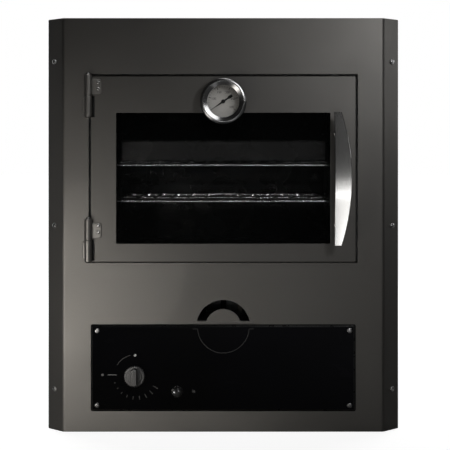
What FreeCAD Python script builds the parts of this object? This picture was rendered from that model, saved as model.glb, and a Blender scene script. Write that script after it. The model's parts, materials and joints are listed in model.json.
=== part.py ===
import FreeCAD, Part
import math
import os
import re
import Sketcher

# Built-in gas oven with a side-hung glass door, in millimetres, +Z up, front towards -Y.
# Depths (u) are measured from the front face into the oven.

SIZES = {
    # Row depth of the front face, so that the whole stands centred on the origin
    "front_y": -237.5,
    # Folded front panel
    "front_width": 600,
    "front_height": 700,
    "facet": 29,
    "sheet": 2,
    "facet_screw_x": 287,
    "facet_screw_u": 16,
    "facet_screw_low": 69.5,
    "facet_screw_pitch": 278.75,
    # Door and window
    "door_half": 224.5,
    "door_low": 287,
    "door_high": 602,
    "door_gap": 3,
    "door_depth": 22,
    "window_half": 181,
    "window_low": 318.5,
    "window_high": 539.5,
    "glass_margin": 10,
    "glass_thick": 4,
    "inner_sheet": 1.5,
    "inner_margin": 3,
    "seal_half": 215,
    "seal_low": 292,
    "seal_high": 598,
    "seal_width": 8,
    # Hinges
    "hinge_x": -228,
    "hinge_u": -6.8,
    "barrel_r": 6.4,
    "pin_r": 3,
    "running_fit": 0.05,
    "upper_hinge_low": 531,
    "upper_hinge_split": 568,
    "upper_hinge_high": 605,
    "lower_hinge_low": 286,
    "lower_hinge_split": 325,
    "lower_hinge_high": 361,
    "notch_wide": 6,
    "notch_deep": 12,
    "leaf_right": -206.5,
    "leaf_thick": 3,
    "hinge_screw_x": -211,
    # Handle
    "handle_left": 184.8,
    "handle_end": 197.3,
    "handle_right": 213,
    "handle_low": 317,
    "handle_high": 540,
    "handle_front": 50,
    "handle_sag": 15,
    "handle_thick": 3,
    "post_r": 5,
    "post_x": 194.5,
    "post_inset": 34,
    # Thermometer
    "gauge_z": 558.5,
    "gauge_case_r": 36,
    "gauge_bezel_r": 39,
    "gauge_view_r": 27,
    "gauge_stem_r": 4,
    "gauge_stem_end": 95,
    # Control plate, tap and igniter
    "plate_half": 222,
    "plate_low": 37,
    "plate_high": 180,
    "plate_thick": 4,
    "plate_bevel": 1.5,
    "plate_screw_x": 213,
    "plate_screw_low": 45.5,
    "plate_screw_high": 171.5,
    "control_half": 200,
    "control_low": 52,
    "control_high": 166,
    "knob_x": -149,
    "knob_z": 96,
    "knob_r": 18,
    "spindle_r": 4,
    "rod_r": 3,
    "igniter_x": -77.5,
    "igniter_z": 68.5,
    "button_r": 7.5,
    # Arched air slot
    "slot_z": 177.5,
    "slot_outer": 45.5,
    "slot_inner": 30.5,
    "slot_sill": 187.7,
    # Casing
    "casing_half": 275,
    "casing_sheet": 1.5,
    "casing_front": 30,
    "casing_back_u": 500,
    "casing_high": 670,
    "base_thick": 2,
    "shield_z": 182,
    "frame_low": 240,
    # Cavity
    "cavity_half": 205,
    "cavity_low": 302,
    "cavity_high": 588,
    "cavity_front": 32,
    "cavity_deep": 442,
    "cavity_sheet": 1.5,
    "flue_r": 38.5,
    "flue_u": 380,
    "flue_high": 730,
    # Racks and tray
    "rack_first": 326,
    "rack_pitch": 62.5,
    "rack_half": 195,
    "rack_front": 53,
    "rack_deep": 432,
    "rail_r": 3,
    "wire_r": 2,
    "wire_pitch": 30,
    "ledge": 14,
    "rest_gap": 0.3,
    "tray_half": 187,
    "tray_front": 60,
    "tray_deep": 400,
    "tray_tall": 37,
    "tray_sheet": 1.5,
    "tray_rim": 6,
    # Gas and ignition
    "burner_z": 235,
    "burner_r": 18,
    "burner_front": 135,
    "burner_end": 430,
    "feed_r": 5,
    "feed_u": 100,
    "inlet_r": 8,
    "inlet_z": 60,
    "inlet_end": 525,
    "nipple_r": 10.45,
    "probe_x": 30,
    "probe_u": 170,
}

ROOT2 = "1.41421356"
WORD = re.compile(r"[a-z_][a-z0-9_]*")
AXES = {
    "x": FreeCAD.Rotation(FreeCAD.Vector(0, 1, 0), 90),
    "u": FreeCAD.Rotation(FreeCAD.Vector(1, 0, 0), -90),
    "z": FreeCAD.Rotation(),
}

doc = FreeCAD.newDocument("gas_oven")
dims = doc.addObject("Spreadsheet::Sheet", "dims")
for row, (alias, size) in enumerate(SIZES.items(), 1):
    dims.set(f"A{row}", alias)
    dims.set(f"B{row}", str(size))
    dims.setAlias(f"B{row}", alias)
doc.recompute()

nodes = []


def formula(text):
    """Write the size names of an expression as references to the sheet."""
    return WORD.sub(lambda word: "dims." + word[0] if word[0] in SIZES else word[0], str(text))


def value(text):
    """Work out an expression now."""
    return float(dims.evalExpression(str(text)))


def bind(item, prop, text):
    """Tie one property of an object to an expression."""
    item.setExpression(prop, formula(text))


def put(item, x, u, z):
    """Stand an object at x, depth u and height z."""
    bind(item, "Placement.Base.x", x)
    bind(item, "Placement.Base.y", f"front_y + ({u})")
    bind(item, "Placement.Base.z", z)


def node(item, label):
    """Name a finished sub-part and keep it for the export."""
    item.Label = label
    nodes.append(item)
    return item


def box(x, u, z):
    """A block between two x, two depths and two heights."""
    item = doc.addObject("Part::Box", "block")
    for prop, (low, high) in zip(("Length", "Width", "Height"), (x, u, z)):
        bind(item, prop, f"({high}) - ({low})")
    put(item, x[0], u[0], z[0])
    return item


def cylinder(radius, length, at, axis="z"):
    """A round bar from one end point along an axis or a direction."""
    item = doc.addObject("Part::Cylinder", "round")
    turn = AXES[axis] if isinstance(axis, str) else FreeCAD.Rotation(FreeCAD.Vector(0, 0, 1), axis)
    item.Placement = FreeCAD.Placement(FreeCAD.Vector(), turn)
    bind(item, "Radius", radius)
    bind(item, "Height", length)
    put(item, *at)
    return item


def cone(radius, top, length, at, axis):
    """A round bar that narrows along a direction."""
    item = doc.addObject("Part::Cone", "taper")
    item.Placement = FreeCAD.Placement(FreeCAD.Vector(), FreeCAD.Rotation(FreeCAD.Vector(0, 0, 1), axis))
    bind(item, "Radius1", radius)
    bind(item, "Radius2", top)
    bind(item, "Height", length)
    put(item, *at)
    return item


def ball(radius, at):
    """A sphere."""
    item = doc.addObject("Part::Sphere", "ball")
    bind(item, "Radius", radius)
    put(item, *at)
    return item


def fuse(items):
    """Join solids into one."""
    item = doc.addObject("Part::MultiFuse", "joined")
    item.Shapes = items
    item.Refine = True
    return item


def cut(base, tools):
    """Take tools away from a solid."""
    item = doc.addObject("Part::Cut", "cut")
    item.Base = base
    item.Tool = tools[0] if len(tools) == 1 else fuse(tools)
    return item


def common(first, second):
    """Keep what two solids share."""
    item = doc.addObject("Part::Common", "shared")
    item.Base = first
    item.Tool = second
    return item


def group(items):
    """Separate solids that share one node."""
    item = doc.addObject("Part::Compound", "group")
    item.Links = items
    return item


def body_at(x, u, z):
    """An empty design body standing at a point."""
    body = doc.addObject("PartDesign::Body", "body")
    put(body, x, u, z)
    return body


def sketch_on(body, role, offset="0"):
    """A sketch on one of the body's own planes."""
    sketch = body.newObject("Sketcher::SketchObject", "sketch")
    plane = next(item for item in body.Origin.OriginFeatures if item.Role == role)
    sketch.AttachmentSupport = (plane, [""])
    sketch.MapMode = "FlatFace"
    bind(sketch, "AttachmentOffset.Base.z", offset)
    return sketch


def hold(sketch, kind, geometry, point, text):
    """Keep a sketch point at a stated distance from the sketch's origin."""
    number = sketch.addConstraint(Sketcher.Constraint(kind, -1, 1, geometry, point, value(text)))
    bind(sketch, f"Constraints[{number}]", text)


def polygon(sketch, points):
    """A closed outline through points given as expressions."""
    corners = [FreeCAD.Vector(value(x), value(y), 0) for x, y in points]
    count = len(corners)
    lines = []
    for index in range(count):
        segment = Part.LineSegment(corners[index], corners[(index + 1) % count])
        lines.append(sketch.addGeometry(segment, False))
    for index in range(count):
        following = lines[(index + 1) % count]
        sketch.addConstraint(Sketcher.Constraint("Coincident", lines[index], 2, following, 1))
    for line, (x, y) in zip(lines, points):
        hold(sketch, "DistanceX", line, 1, x)
        hold(sketch, "DistanceY", line, 1, y)


def rectangle(sketch, x, y):
    """A closed rectangle between two x and two y."""
    polygon(sketch, [(x[0], y[0]), (x[1], y[0]), (x[1], y[1]), (x[0], y[1])])


def circle(sketch, x, y, radius):
    """A circle in a sketch."""
    normal = FreeCAD.Vector(0, 0, 1)
    centre = FreeCAD.Vector(value(x), value(y), 0)
    number = sketch.addGeometry(Part.Circle(centre, normal, value(radius)), False)
    hold(sketch, "DistanceX", number, 3, x)
    hold(sketch, "DistanceY", number, 3, y)
    size = sketch.addConstraint(Sketcher.Constraint("Radius", number, value(radius)))
    bind(sketch, f"Constraints[{size}]", radius)


def pad(body, sketch, length, back=False):
    """Raise a sketch; back turns the direction round."""
    item = body.newObject("PartDesign::Pad", "pad")
    item.Profile = sketch
    item.Reversed = back
    bind(item, "Length", length)
    return item


def pocket(body, sketch, length, back=False):
    """Cut a sketch into the body; back turns the direction round."""
    item = body.newObject("PartDesign::Pocket", "pocket")
    item.Profile = sketch
    item.Reversed = back
    bind(item, "Length", length)
    return item


def turned(points, at, role):
    """A body turned from a profile: depth axis on the XY plane, upright axis on the XZ plane."""
    body = body_at(*at)
    sketch = sketch_on(body, role)
    polygon(sketch, points)
    item = body.newObject("PartDesign::Revolution", "revolution")
    item.Profile = sketch
    item.ReferenceAxis = (sketch, ["V_Axis"])
    item.Angle = 360
    return body


def dress_edges(body, kind, prop, size, wanted):
    """Round or bevel the edges of the body's last feature that pass the test."""
    doc.recompute()
    base = body.Tip
    names = [f"Edge{number}" for number, edge in enumerate(base.Shape.Edges, 1) if wanted(edge)]
    item = body.newObject(f"PartDesign::{kind}", "edges")
    item.Base = (base, names)
    bind(item, prop, size)


def round_edges(body, radius, wanted):
    """Round the edges that pass the test."""
    dress_edges(body, "Fillet", "Radius", radius, wanted)


def runs_along(direction, shortest=0, longest=1000):
    """A test for straight edges along a direction, between two lengths."""
    def test(edge):
        if not isinstance(edge.Curve, Part.Line):
            return False
        lined_up = abs(edge.Curve.Direction.dot(direction)) > 0.999
        return lined_up and shortest < edge.Length < longest
    return test


def ring_at(axis, level, radius):
    """A test for round edges of one radius at one level along an axis, in the body's own frame."""
    def test(edge):
        if not isinstance(edge.Curve, Part.Circle):
            return False
        middle = getattr(edge.Curve.Center, axis)
        return abs(middle - level) < 0.01 and abs(edge.Curve.Radius - radius) < 0.01
    return test


def level_with(bound, level):
    """A test for edges whose bounding box ends at a level, in the body's own frame."""
    def test(edge):
        return abs(getattr(edge.BoundBox, bound) - level) < 0.01
    return test


def screw(at, direction, head_r, head_h, shank_r, shank):
    """A pan-head screw seated at a point, its head standing along the direction."""
    out = FreeCAD.Vector(*direction)
    out.normalize()
    into = out * -1
    x, u, z = at
    rim = [f"({place}) + {part * 0.5:.6f} * {head_h}" for place, part in zip((x, u, z), out)]
    return fuse([
        cylinder(head_r, f"{head_h} * 0.5", at, out),
        cone(head_r, f"{head_r} * 0.68", f"{head_h} * 0.5", rim, out),
        cylinder(shank_r, shank, at, into),
    ])


def bent_path(points, bend):
    """A wire through points with every corner turned on a tangent arc."""
    spots = [FreeCAD.Vector(value(x), value("front_y") + value(u), value(z)) for x, u, z in points]
    edges = []
    start = spots[0]
    for before, corner, after in zip(spots, spots[1:], spots[2:]):
        arriving = (corner - before).normalize()
        leaving = (after - corner).normalize()
        half = arriving.getAngle(leaving) / 2
        reach = bend * math.tan(half)
        first = corner - arriving * reach
        last = corner + leaving * reach
        inward = (leaving - arriving).normalize()
        crown = corner + inward * (bend / math.cos(half) - bend)
        edges.append(Part.LineSegment(start, first).toShape())
        edges.append(Part.Arc(first, crown, last).toShape())
        start = last
    edges.append(Part.LineSegment(start, spots[-1]).toShape())
    path = doc.addObject("Part::Feature", "path")
    path.Shape = Part.Wire(edges)
    return path


def pipe(points, bend, radius):
    """A round pipe along a bent path, with its volume set beside the length times the area."""
    path = bent_path(points, bend)
    wire = path.Shape
    first = wire.Edges[0]
    heading = first.tangentAt(first.FirstParameter)
    ring = doc.addObject("Part::Circle", "ring")
    bind(ring, "Radius", radius)
    facing = FreeCAD.Rotation(FreeCAD.Vector(0, 0, 1), heading)
    ring.Placement = FreeCAD.Placement(wire.Vertexes[0].Point, facing)
    item = doc.addObject("Part::Sweep", "pipe")
    item.Sections = [ring]
    item.Spine = (path, [])
    item.Solid = True
    doc.recompute()
    wanted = wire.Length * math.pi * value(radius) ** 2
    print("pipe bend", bend, "radius", value(radius), "volume ratio", round(item.Shape.Volume / wanted, 4))
    return item


# Folded front panel with its openings
flat_half = "(front_width / 2 - facet)"
inner_half = f"({flat_half} - sheet * ({ROOT2} - 1))"
rear_half = f"({inner_half} + facet - sheet + 1)"
front = body_at("0", "0", "0")
outline = sketch_on(front, "XY_Plane")
polygon(outline, [
    (f"-{flat_half}", "0"), (flat_half, "0"), ("front_width / 2", "facet"), ("-front_width / 2", "facet"),
])
pad(front, outline, "front_height")
hollow = sketch_on(front, "XY_Plane", "sheet")
polygon(hollow, [
    (f"-{inner_half}", "sheet"), (inner_half, "sheet"),
    (rear_half, "facet + 1"), (f"-{rear_half}", "facet + 1"),
])
pocket(front, hollow, "front_height - 2 * sheet", True)
openings = sketch_on(front, "XZ_Plane", "1")
rectangle(
    openings,
    ("-door_half - door_gap", "door_half + door_gap"),
    ("door_low - door_gap", "door_high + door_gap"),
)
rectangle(openings, ("-control_half", "control_half"), ("control_low", "control_high"))
for side in ("-", ""):
    for height in ("plate_screw_low", "plate_screw_high"):
        circle(openings, f"{side}plate_screw_x", height, "2.2")
pocket(front, openings, "sheet + 2")


def arch(body, outer, inner, middle, sill, length):
    """Cut a half-ring slot that stands on a level sill."""
    sketch = sketch_on(body, "XZ_Plane", "1")
    centre = FreeCAD.Vector(0, value(middle), 0)
    rise = value(sill) - value(middle)
    arcs = []
    for radius in (outer, inner):
        start = math.asin(rise / value(radius))
        ring = Part.Circle(centre, FreeCAD.Vector(0, 0, 1), value(radius))
        arcs.append(sketch.addGeometry(Part.ArcOfCircle(ring, start, math.pi - start), False))
    sills = []
    for point in (1, 2):
        ends = [sketch.getPoint(arc, point) for arc in arcs]
        sills.append(sketch.addGeometry(Part.LineSegment(ends[0], ends[1]), False))
    for line, point in zip(sills, (1, 2)):
        sketch.addConstraint(Sketcher.Constraint("Coincident", line, 1, arcs[0], point))
        sketch.addConstraint(Sketcher.Constraint("Coincident", line, 2, arcs[1], point))
    sketch.addConstraint(Sketcher.Constraint("Coincident", arcs[1], 3, arcs[0], 3))
    hold(sketch, "DistanceX", arcs[0], 3, "0")
    hold(sketch, "DistanceY", arcs[0], 3, middle)
    for arc, radius in zip(arcs, (outer, inner)):
        size = sketch.addConstraint(Sketcher.Constraint("Radius", arc, value(radius)))
        bind(sketch, f"Constraints[{size}]", radius)
        hold(sketch, "DistanceY", arc, 1, sill)
        hold(sketch, "DistanceY", arc, 2, sill)
    pocket(body, sketch, length)


arch(front, "slot_outer", "slot_inner", "slot_z", "slot_sill", "sheet + 2")

facet_seats = []
for side, turn in (("-", -1), ("", 1)):
    for step in range(3):
        seat = (f"{side}facet_screw_x", "facet_screw_u", f"facet_screw_low + {step} * facet_screw_pitch")
        facet_seats.append((seat, FreeCAD.Vector(turn, -1, 0)))
facet_holes = [cylinder("2.6", "2 * sheet", seat, out * -1) for seat, out in facet_seats]
facet_rims = [cylinder("2.6", "sheet", seat, out) for seat, out in facet_seats]
node(cut(front, facet_holes + facet_rims), "front_panel")
node(group([screw(seat, out, "4.6", "2.8", "2", "11") for seat, out in facet_seats]), "front_panel_screws")

# Casing sides, folded back behind the facets
flange_front = f"({flat_half} - sheet * {ROOT2})"


def casing_side(side, label):
    """One casing side with its folded flange under the facet."""
    body = body_at("0", "0", "base_thick")
    sketch = sketch_on(body, "XY_Plane")
    wall = "casing_half - casing_sheet"
    tip = "front_width / 2 - 8"
    fold = f"casing_sheet * {ROOT2}"
    polygon(sketch, [
        (f"{side}({wall})", "casing_back_u"),
        (f"{side}casing_half", "casing_back_u"),
        (f"{side}casing_half", f"casing_half - {flange_front} + {fold}"),
        (f"{side}({tip})", f"{tip} - {flange_front} + {fold}"),
        (f"{side}({tip})", f"{tip} - {flange_front}"),
        (f"{side}({wall})", f"{wall} - {flange_front}"),
    ])
    pad(body, sketch, "casing_high - base_thick")
    sign = -1 if side == "-" else 1
    seats = [seat for seat, out in facet_seats if out.x == sign]
    inward = FreeCAD.Vector(-sign, 1, 0)
    node(cut(body, [cylinder("2.1", "8", seat, inward) for seat in seats]), label)


casing_side("-", "casing_left")
casing_side("", "casing_right")

inside = ("-casing_half + casing_sheet", "casing_half - casing_sheet")
full = ("-casing_half", "casing_half")
depth = ("casing_front", "casing_back_u")
flue_hole = cylinder("flue_r + 2", "10", ("0", "flue_u", "casing_high - 5"))
node(cut(box(full, depth, ("casing_high", "casing_high + casing_sheet")), [flue_hole]), "casing_top")
node(box(full, depth, ("0", "base_thick")), "casing_base")
back = box(inside, ("casing_back_u - casing_sheet", "casing_back_u"), ("base_thick", "casing_high"))
inlet_hole = cylinder("inlet_r + 0.5", "10", ("knob_x", "casing_back_u - 5", "inlet_z"), "u")
node(cut(back, [inlet_hole]), "casing_back")

# Frame round the mouth of the cavity
mouth = box(inside, ("casing_front", "cavity_front"), ("frame_low", "casing_high"))
mouth_hole = box(
    ("-cavity_half", "cavity_half"), ("casing_front - 1", "cavity_front + 1"), ("cavity_low", "cavity_high"),
)
node(cut(mouth, [mouth_hole]), "mouth_frame")

# Cavity walls
cavity_u = ("cavity_front", "cavity_deep")
wall_z = ("cavity_low - cavity_sheet", "cavity_high + cavity_sheet")
node(box(("-cavity_half - cavity_sheet", "-cavity_half"), cavity_u, wall_z), "cavity_left")
node(box(("cavity_half", "cavity_half + cavity_sheet"), cavity_u, wall_z), "cavity_right")
ceiling = box(("-cavity_half", "cavity_half"), cavity_u, ("cavity_high", "cavity_high + cavity_sheet"))
vent = cylinder("flue_r", "10", ("0", "flue_u", "cavity_high - 5"))
node(cut(ceiling, [vent]), "cavity_ceiling")
floor = box(("-cavity_half", "cavity_half"), cavity_u, ("cavity_low - cavity_sheet", "cavity_low"))
floor_slots = []
for side in ("-", ""):
    ends = ("cavity_half - 55", "cavity_half - 15")
    if side == "-":
        ends = ("-cavity_half + 15", "-cavity_half + 55")
    for step in range(6):
        start = f"90 + {step} * 58"
        floor_slots.append(box(ends, (start, f"{start} + 8"), ("cavity_low - 5", "cavity_low + 5")))
node(cut(floor, floor_slots), "cavity_floor")
back_x = ("-cavity_half - cavity_sheet", "cavity_half + cavity_sheet")
node(box(back_x, ("cavity_deep", "cavity_deep + cavity_sheet"), wall_z), "cavity_back")

# Rack supports: a plate on each wall with four folded ledges
levels = [f"(rack_first + {step} * rack_pitch)" for step in range(4)]


def rack_support(side, label):
    """The ledges of one wall."""
    def across(near, far):
        return (f"-({near})", f"-({far})") if side == "-" else (far, near)
    ledge_u = ("70", "430")
    ladder_z = ("rack_first - 14", "cavity_high - 10")
    pieces = [box(across("cavity_half", "cavity_half - 1.5"), ledge_u, ladder_z)]
    for level in levels:
        top = f"{level} - rail_r - rest_gap"
        ledge_x = across("cavity_half - 1", "cavity_half - ledge")
        pieces.append(box(ledge_x, ledge_u, (f"{top} - 1.5", top)))
    node(fuse(pieces), label)


rack_support("-", "rack_support_left")
rack_support("", "rack_support_right")

# Insulation round the cavity
blanket_x = ("cavity_half + cavity_sheet + 0.5", "cavity_half + cavity_sheet + 50.5")
blanket_u = ("cavity_front + 2", "cavity_deep - 2")
blanket_z = ("cavity_low", "cavity_high")
top_blanket = box(("-cavity_half", "cavity_half"), blanket_u, ("cavity_high + 3.5", "cavity_high + 53.5"))
flue_gap = cylinder("flue_r + 2.5", "60", ("0", "flue_u", "cavity_high"))
node(group([
    box((f"-({blanket_x[1]})", f"-({blanket_x[0]})"), blanket_u, blanket_z),
    box(blanket_x, blanket_u, blanket_z),
    cut(top_blanket, [flue_gap]),
    box(("-cavity_half", "cavity_half"), ("cavity_deep + 2", "cavity_deep + 50"), blanket_z),
]), "insulation_blankets")

# Flue collar from the ceiling through the top
node(turned([
    ("flue_r", "0"),
    ("flue_r + 10", "0"),
    ("flue_r + 10", "1.5"),
    ("flue_r + 1.5", "1.5"),
    ("flue_r + 1.5", "flue_high - cavity_high - cavity_sheet"),
    ("flue_r", "flue_high - cavity_high - cavity_sheet"),
], ("0", "flue_u", "cavity_high + cavity_sheet"), "XZ_Plane"), "flue_collar")

# Heat shield between the burner and the controls
shield = box(inside, ("casing_front + 6", "casing_back_u - 3"), ("shield_z", "shield_z + casing_sheet"))
node(cut(shield, [
    cylinder("feed_r + 1", "10", ("0", "feed_u", "shield_z - 5")),
    cylinder("4.3", "10", ("probe_x", "probe_u", "shield_z - 5")),
    cylinder("3", "10", ("-probe_x", "probe_u", "shield_z - 5")),
]), "heat_shield")

# Burner tube with its mixer mouth and flame slots
burner_long = "(burner_end - burner_front)"
tube = turned([
    ("burner_r - 6", "0"),
    ("burner_r", "0"),
    ("burner_r", f"{burner_long} - 6"),
    ("burner_r - 6", burner_long),
    ("0", burner_long),
    ("0", f"{burner_long} - 1.5"),
    ("burner_r - 1.5", f"{burner_long} - 8"),
    ("burner_r - 1.5", "40"),
    ("burner_r - 8", "25"),
], ("0", "burner_front", "burner_z"), "XY_Plane")
flame_slots = []
for step in range(16):
    start = f"burner_front + 60 + {step} * 14"
    slot_u = (start, f"{start} + 1.6")
    flame_slots.append(box(("-12", "12"), slot_u, ("burner_z + 8", "burner_z + burner_r + 2")))
node(cut(tube, flame_slots), "burner")
saddles = []
for place in ("burner_front + 52", "burner_end - 25"):
    plate = box(("-28", "28"), (place, f"{place} + 3"), ("shield_z + casing_sheet", "burner_z"))
    saddles.append(cut(plate, [cylinder("burner_r + 0.1", "20", ("0", f"{place} - 5", "burner_z"), "u")]))
node(group(saddles), "burner_brackets")
sleeve = cylinder("burner_r + 2", "20", ("0", "burner_front + 4", "burner_z"), "u")
sleeve_bore = cylinder("burner_r + 0.1", "30", ("0", "burner_front", "burner_z"), "u")
node(cut(sleeve, [sleeve_bore]), "air_shutter")

# Injector and the pipe that feeds it
injector = fuse([
    cylinder("8", "10", ("0", "burner_front - 20", "burner_z"), "u"),
    cone("6", "3", "9", ("0", "burner_front - 10", "burner_z"), FreeCAD.Vector(0, 1, 0)),
])
node(cut(injector, [cylinder("1", "40", ("0", "burner_front - 30", "burner_z"), "u")]), "gas_injector")
node(pipe([
    ("knob_x", "45", "knob_z + 16"),
    ("knob_x", "45", "145"),
    ("knob_x", "feed_u", "145"),
    ("0", "feed_u", "145"),
    ("0", "feed_u", "burner_z"),
    ("0", "burner_front - 20", "burner_z"),
], 14, "feed_r"), "burner_feed_pipe")

# Gas valve with its bracket and inlet
valve = fuse([
    box(("knob_x - 18", "knob_x + 18"), ("12", "62"), ("knob_z - 16", "knob_z + 16")),
    cylinder("9", "10", ("knob_x", "3", "knob_z"), "u"),
])
node(cut(valve, [
    cylinder("spindle_r + running_fit", "22", ("knob_x", "3", "knob_z"), "u"),
    cylinder("rod_r + running_fit", "30", ("knob_x", "20", "knob_z"), "u"),
]), "gas_valve")
bracket = fuse([
    box(("knob_x - 36", "knob_x + 36"), ("62", "64"), ("base_thick", "knob_z + 29")),
    box(("knob_x - 36", "knob_x + 36"), ("64", "94"), ("base_thick", "base_thick + 2")),
])
node(cut(bracket, [cylinder("inlet_r + 0.5", "10", ("knob_x", "58", "knob_z"), "u")]), "valve_bracket")
supply = pipe([
    ("knob_x", "62", "knob_z"),
    ("knob_x", "120", "knob_z"),
    ("knob_x", "156", "inlet_z"),
    ("knob_x", "inlet_end", "inlet_z"),
], 30, "inlet_r")
nipple_seat = ("knob_x", "casing_back_u + 1", "inlet_z")
nipple = cylinder("nipple_r", "inlet_end - casing_back_u - 1", nipple_seat, "u")
node(fuse([supply, nipple]), "gas_inlet_pipe")

# Flame sensor and spark electrode with their leads
sensor_lead = pipe([
    ("knob_x + 18", "40", "90"),
    ("knob_x + 44", "40", "90"),
    ("knob_x + 44", "probe_u", "90"),
    ("-probe_x", "probe_u", "90"),
    ("-probe_x", "probe_u", "230"),
], 12, "1.5")
sensor = cylinder("2.5", "32", ("-probe_x", "probe_u", "222"))
node(fuse([sensor_lead, sensor]), "thermocouple")
node(fuse([
    cylinder("4", "52", ("probe_x", "probe_u", "176")),
    cylinder("1", "38", ("probe_x", "probe_u", "220")),
]), "spark_electrode")
node(pipe([
    ("igniter_x", "45", "igniter_z"),
    ("igniter_x", "110", "igniter_z"),
    ("probe_x", "110", "igniter_z"),
    ("probe_x", "probe_u", "igniter_z"),
    ("probe_x", "probe_u", "176"),
], 15, "2.5"), "ignition_lead")

# Igniter body with its bezel, and the button
node(turned([
    ("button_r + 0.3", "-8"),
    ("button_r + 3", "-8"),
    ("button_r + 3", "-plate_thick"),
    ("button_r + 1", "-plate_thick"),
    ("button_r + 1", "2"),
    ("button_r + 2", "2"),
    ("button_r + 2", "45"),
    ("0", "45"),
    ("0", "14"),
    ("button_r + 0.3", "14"),
], ("igniter_x", "0", "igniter_z"), "XY_Plane"), "igniter_body")
button = turned([
    ("0", "-16"), ("button_r", "-16"), ("button_r", "4"), ("0", "4"),
], ("igniter_x", "0", "igniter_z"), "XY_Plane")
round_edges(button, "3", ring_at("y", -16, value("button_r")))
node(button, "igniter_button")

# Control plate with its screws
plate = body_at("0", "0", "0")
plate_face = sketch_on(plate, "XZ_Plane")
rectangle(plate_face, ("-plate_half", "plate_half"), ("plate_low", "plate_high"))
pad(plate, plate_face, "plate_thick")
dress_edges(plate, "Chamfer", "Size", "plate_bevel", level_with("YMax", -value("plate_thick")))
plate_holes = sketch_on(plate, "XZ_Plane", "plate_thick + 1")
circle(plate_holes, "knob_x", "knob_z", "spindle_r + 1")
circle(plate_holes, "igniter_x", "igniter_z", "button_r + 1.2")
for side in ("-", ""):
    for height in ("plate_screw_low", "plate_screw_high"):
        circle(plate_holes, f"{side}plate_screw_x", height, "2.2")
pocket(plate, plate_holes, "plate_thick + 2")
node(plate, "control_plate")
plate_screws = []
for side in ("-", ""):
    for height in ("plate_screw_low", "plate_screw_high"):
        seat = (f"{side}plate_screw_x", "-plate_thick", height)
        plate_screws.append(screw(seat, (0, -1, 0), "4.5", "2.8", "2", "12"))
node(group(plate_screws), "control_plate_screws")

# Knob with a grip bar, its spindle and the rod that it pushes
knob = body_at("knob_x", "0", "knob_z")
skirt = sketch_on(knob, "XZ_Plane", "10")
circle(skirt, "0", "0", "knob_r")
pad(knob, skirt, "9")
round_edges(knob, "2", ring_at("y", -19, value("knob_r")))
grip = sketch_on(knob, "XZ_Plane", "19")
rectangle(grip, ("-5", "5"), ("-knob_r + 3.4", "knob_r - 3.4"))
pad(knob, grip, "13")
round_edges(knob, "3.5", runs_along(FreeCAD.Vector(0, 1, 0), 12))
bore = sketch_on(knob, "XZ_Plane", "10")
circle(bore, "0", "0", "spindle_r + 0.02")
pocket(knob, bore, "16", True)
node(knob, "control_knob")
node(cylinder("spindle_r", "45", ("knob_x", "-25", "knob_z"), "u"), "valve_spindle")
node(cylinder("rod_r", "24.7", ("knob_x", "20.3", "knob_z"), "u"), "valve_push_rod")

# Outer door panel: a folded tray with a window, notched beside the fixed hinge barrels
door = body_at("0", "0", "0")
door_face = sketch_on(door, "XZ_Plane")
rectangle(door_face, ("-door_half", "door_half"), ("door_low", "door_high"))
pad(door, door_face, "door_depth", True)
door_hollow = sketch_on(door, "XZ_Plane", "-sheet")
rectangle(door_hollow, ("-door_half + sheet", "door_half - sheet"), ("door_low + sheet", "door_high - sheet"))
pocket(door, door_hollow, "door_depth")
window = sketch_on(door, "XZ_Plane", "1")
rectangle(window, ("-window_half", "window_half"), ("window_low", "window_high"))
circle(window, "0", "gauge_z", "gauge_stem_r + 1")
post_heights = ("handle_low + post_inset", "handle_high - post_inset")
for height in post_heights:
    circle(window, "post_x", height, "3.1")
hinge_screw_heights = (
    "upper_hinge_high - 14", "upper_hinge_high - 25", "lower_hinge_high - 12", "lower_hinge_high - 23",
)
for height in hinge_screw_heights:
    circle(window, "hinge_screw_x", height, "1.6")
pocket(door, window, "sheet + 2")
notches = sketch_on(door, "XZ_Plane", "1")
notch_x = ("-door_half - 1", "-door_half + notch_wide")
rectangle(notches, notch_x, ("upper_hinge_low + 2", "upper_hinge_split - 0.5"))
rectangle(notches, notch_x, ("door_low + 3.5", "lower_hinge_split - 0.5"))
pocket(door, notches, "notch_deep + 1")
node(door, "door_outer_panel")

# Inner door panel, both panes and their clips
inner_u = ("door_depth - inner_sheet", "door_depth")
liner = box(
    ("-door_half + sheet + 0.2", "door_half - sheet - 0.2"), inner_u,
    ("door_low + sheet + 0.2", "door_high - sheet - 0.2"),
)
liner_window = box(
    ("-window_half - inner_margin", "window_half + inner_margin"), ("door_depth - 5", "door_depth + 5"),
    ("window_low - inner_margin", "window_high + inner_margin"),
)
liner_hole = cylinder("gauge_stem_r + 1", "10", ("0", "door_depth - 5", "gauge_z"), "u")
node(cut(liner, [liner_window, liner_hole]), "door_inner_panel")
pane_x = ("-window_half - glass_margin", "window_half + glass_margin")
pane_z = ("window_low - glass_margin", "window_high + glass_margin")
node(box(pane_x, ("sheet", "sheet + glass_thick"), pane_z), "outer_glass")
node(box(pane_x, (f"{inner_u[0]} - glass_thick", inner_u[0]), pane_z), "inner_glass")


def clip(side, height, seat, inward):
    """A folded clip that holds a pane against a panel at depth seat."""
    def across(near, far):
        return (f"-window_half - {far}", f"-window_half - {near}") if side == "-" else (
            f"window_half + {near}", f"window_half + {far}")

    def along(low, high):
        return (f"{seat} + {low}", f"{seat} + {high}") if inward else (f"{seat} - {high}", f"{seat} - {low}")
    tall = (f"{height} - 9", f"{height} + 9")
    return fuse([
        box(across("10.4", "24"), along("0", "1.2"), tall),
        box(across("10.4", "11.6"), along("0", "5.4"), tall),
        box(across("5", "11.6"), along("4.2", "5.4"), tall),
    ])


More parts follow.
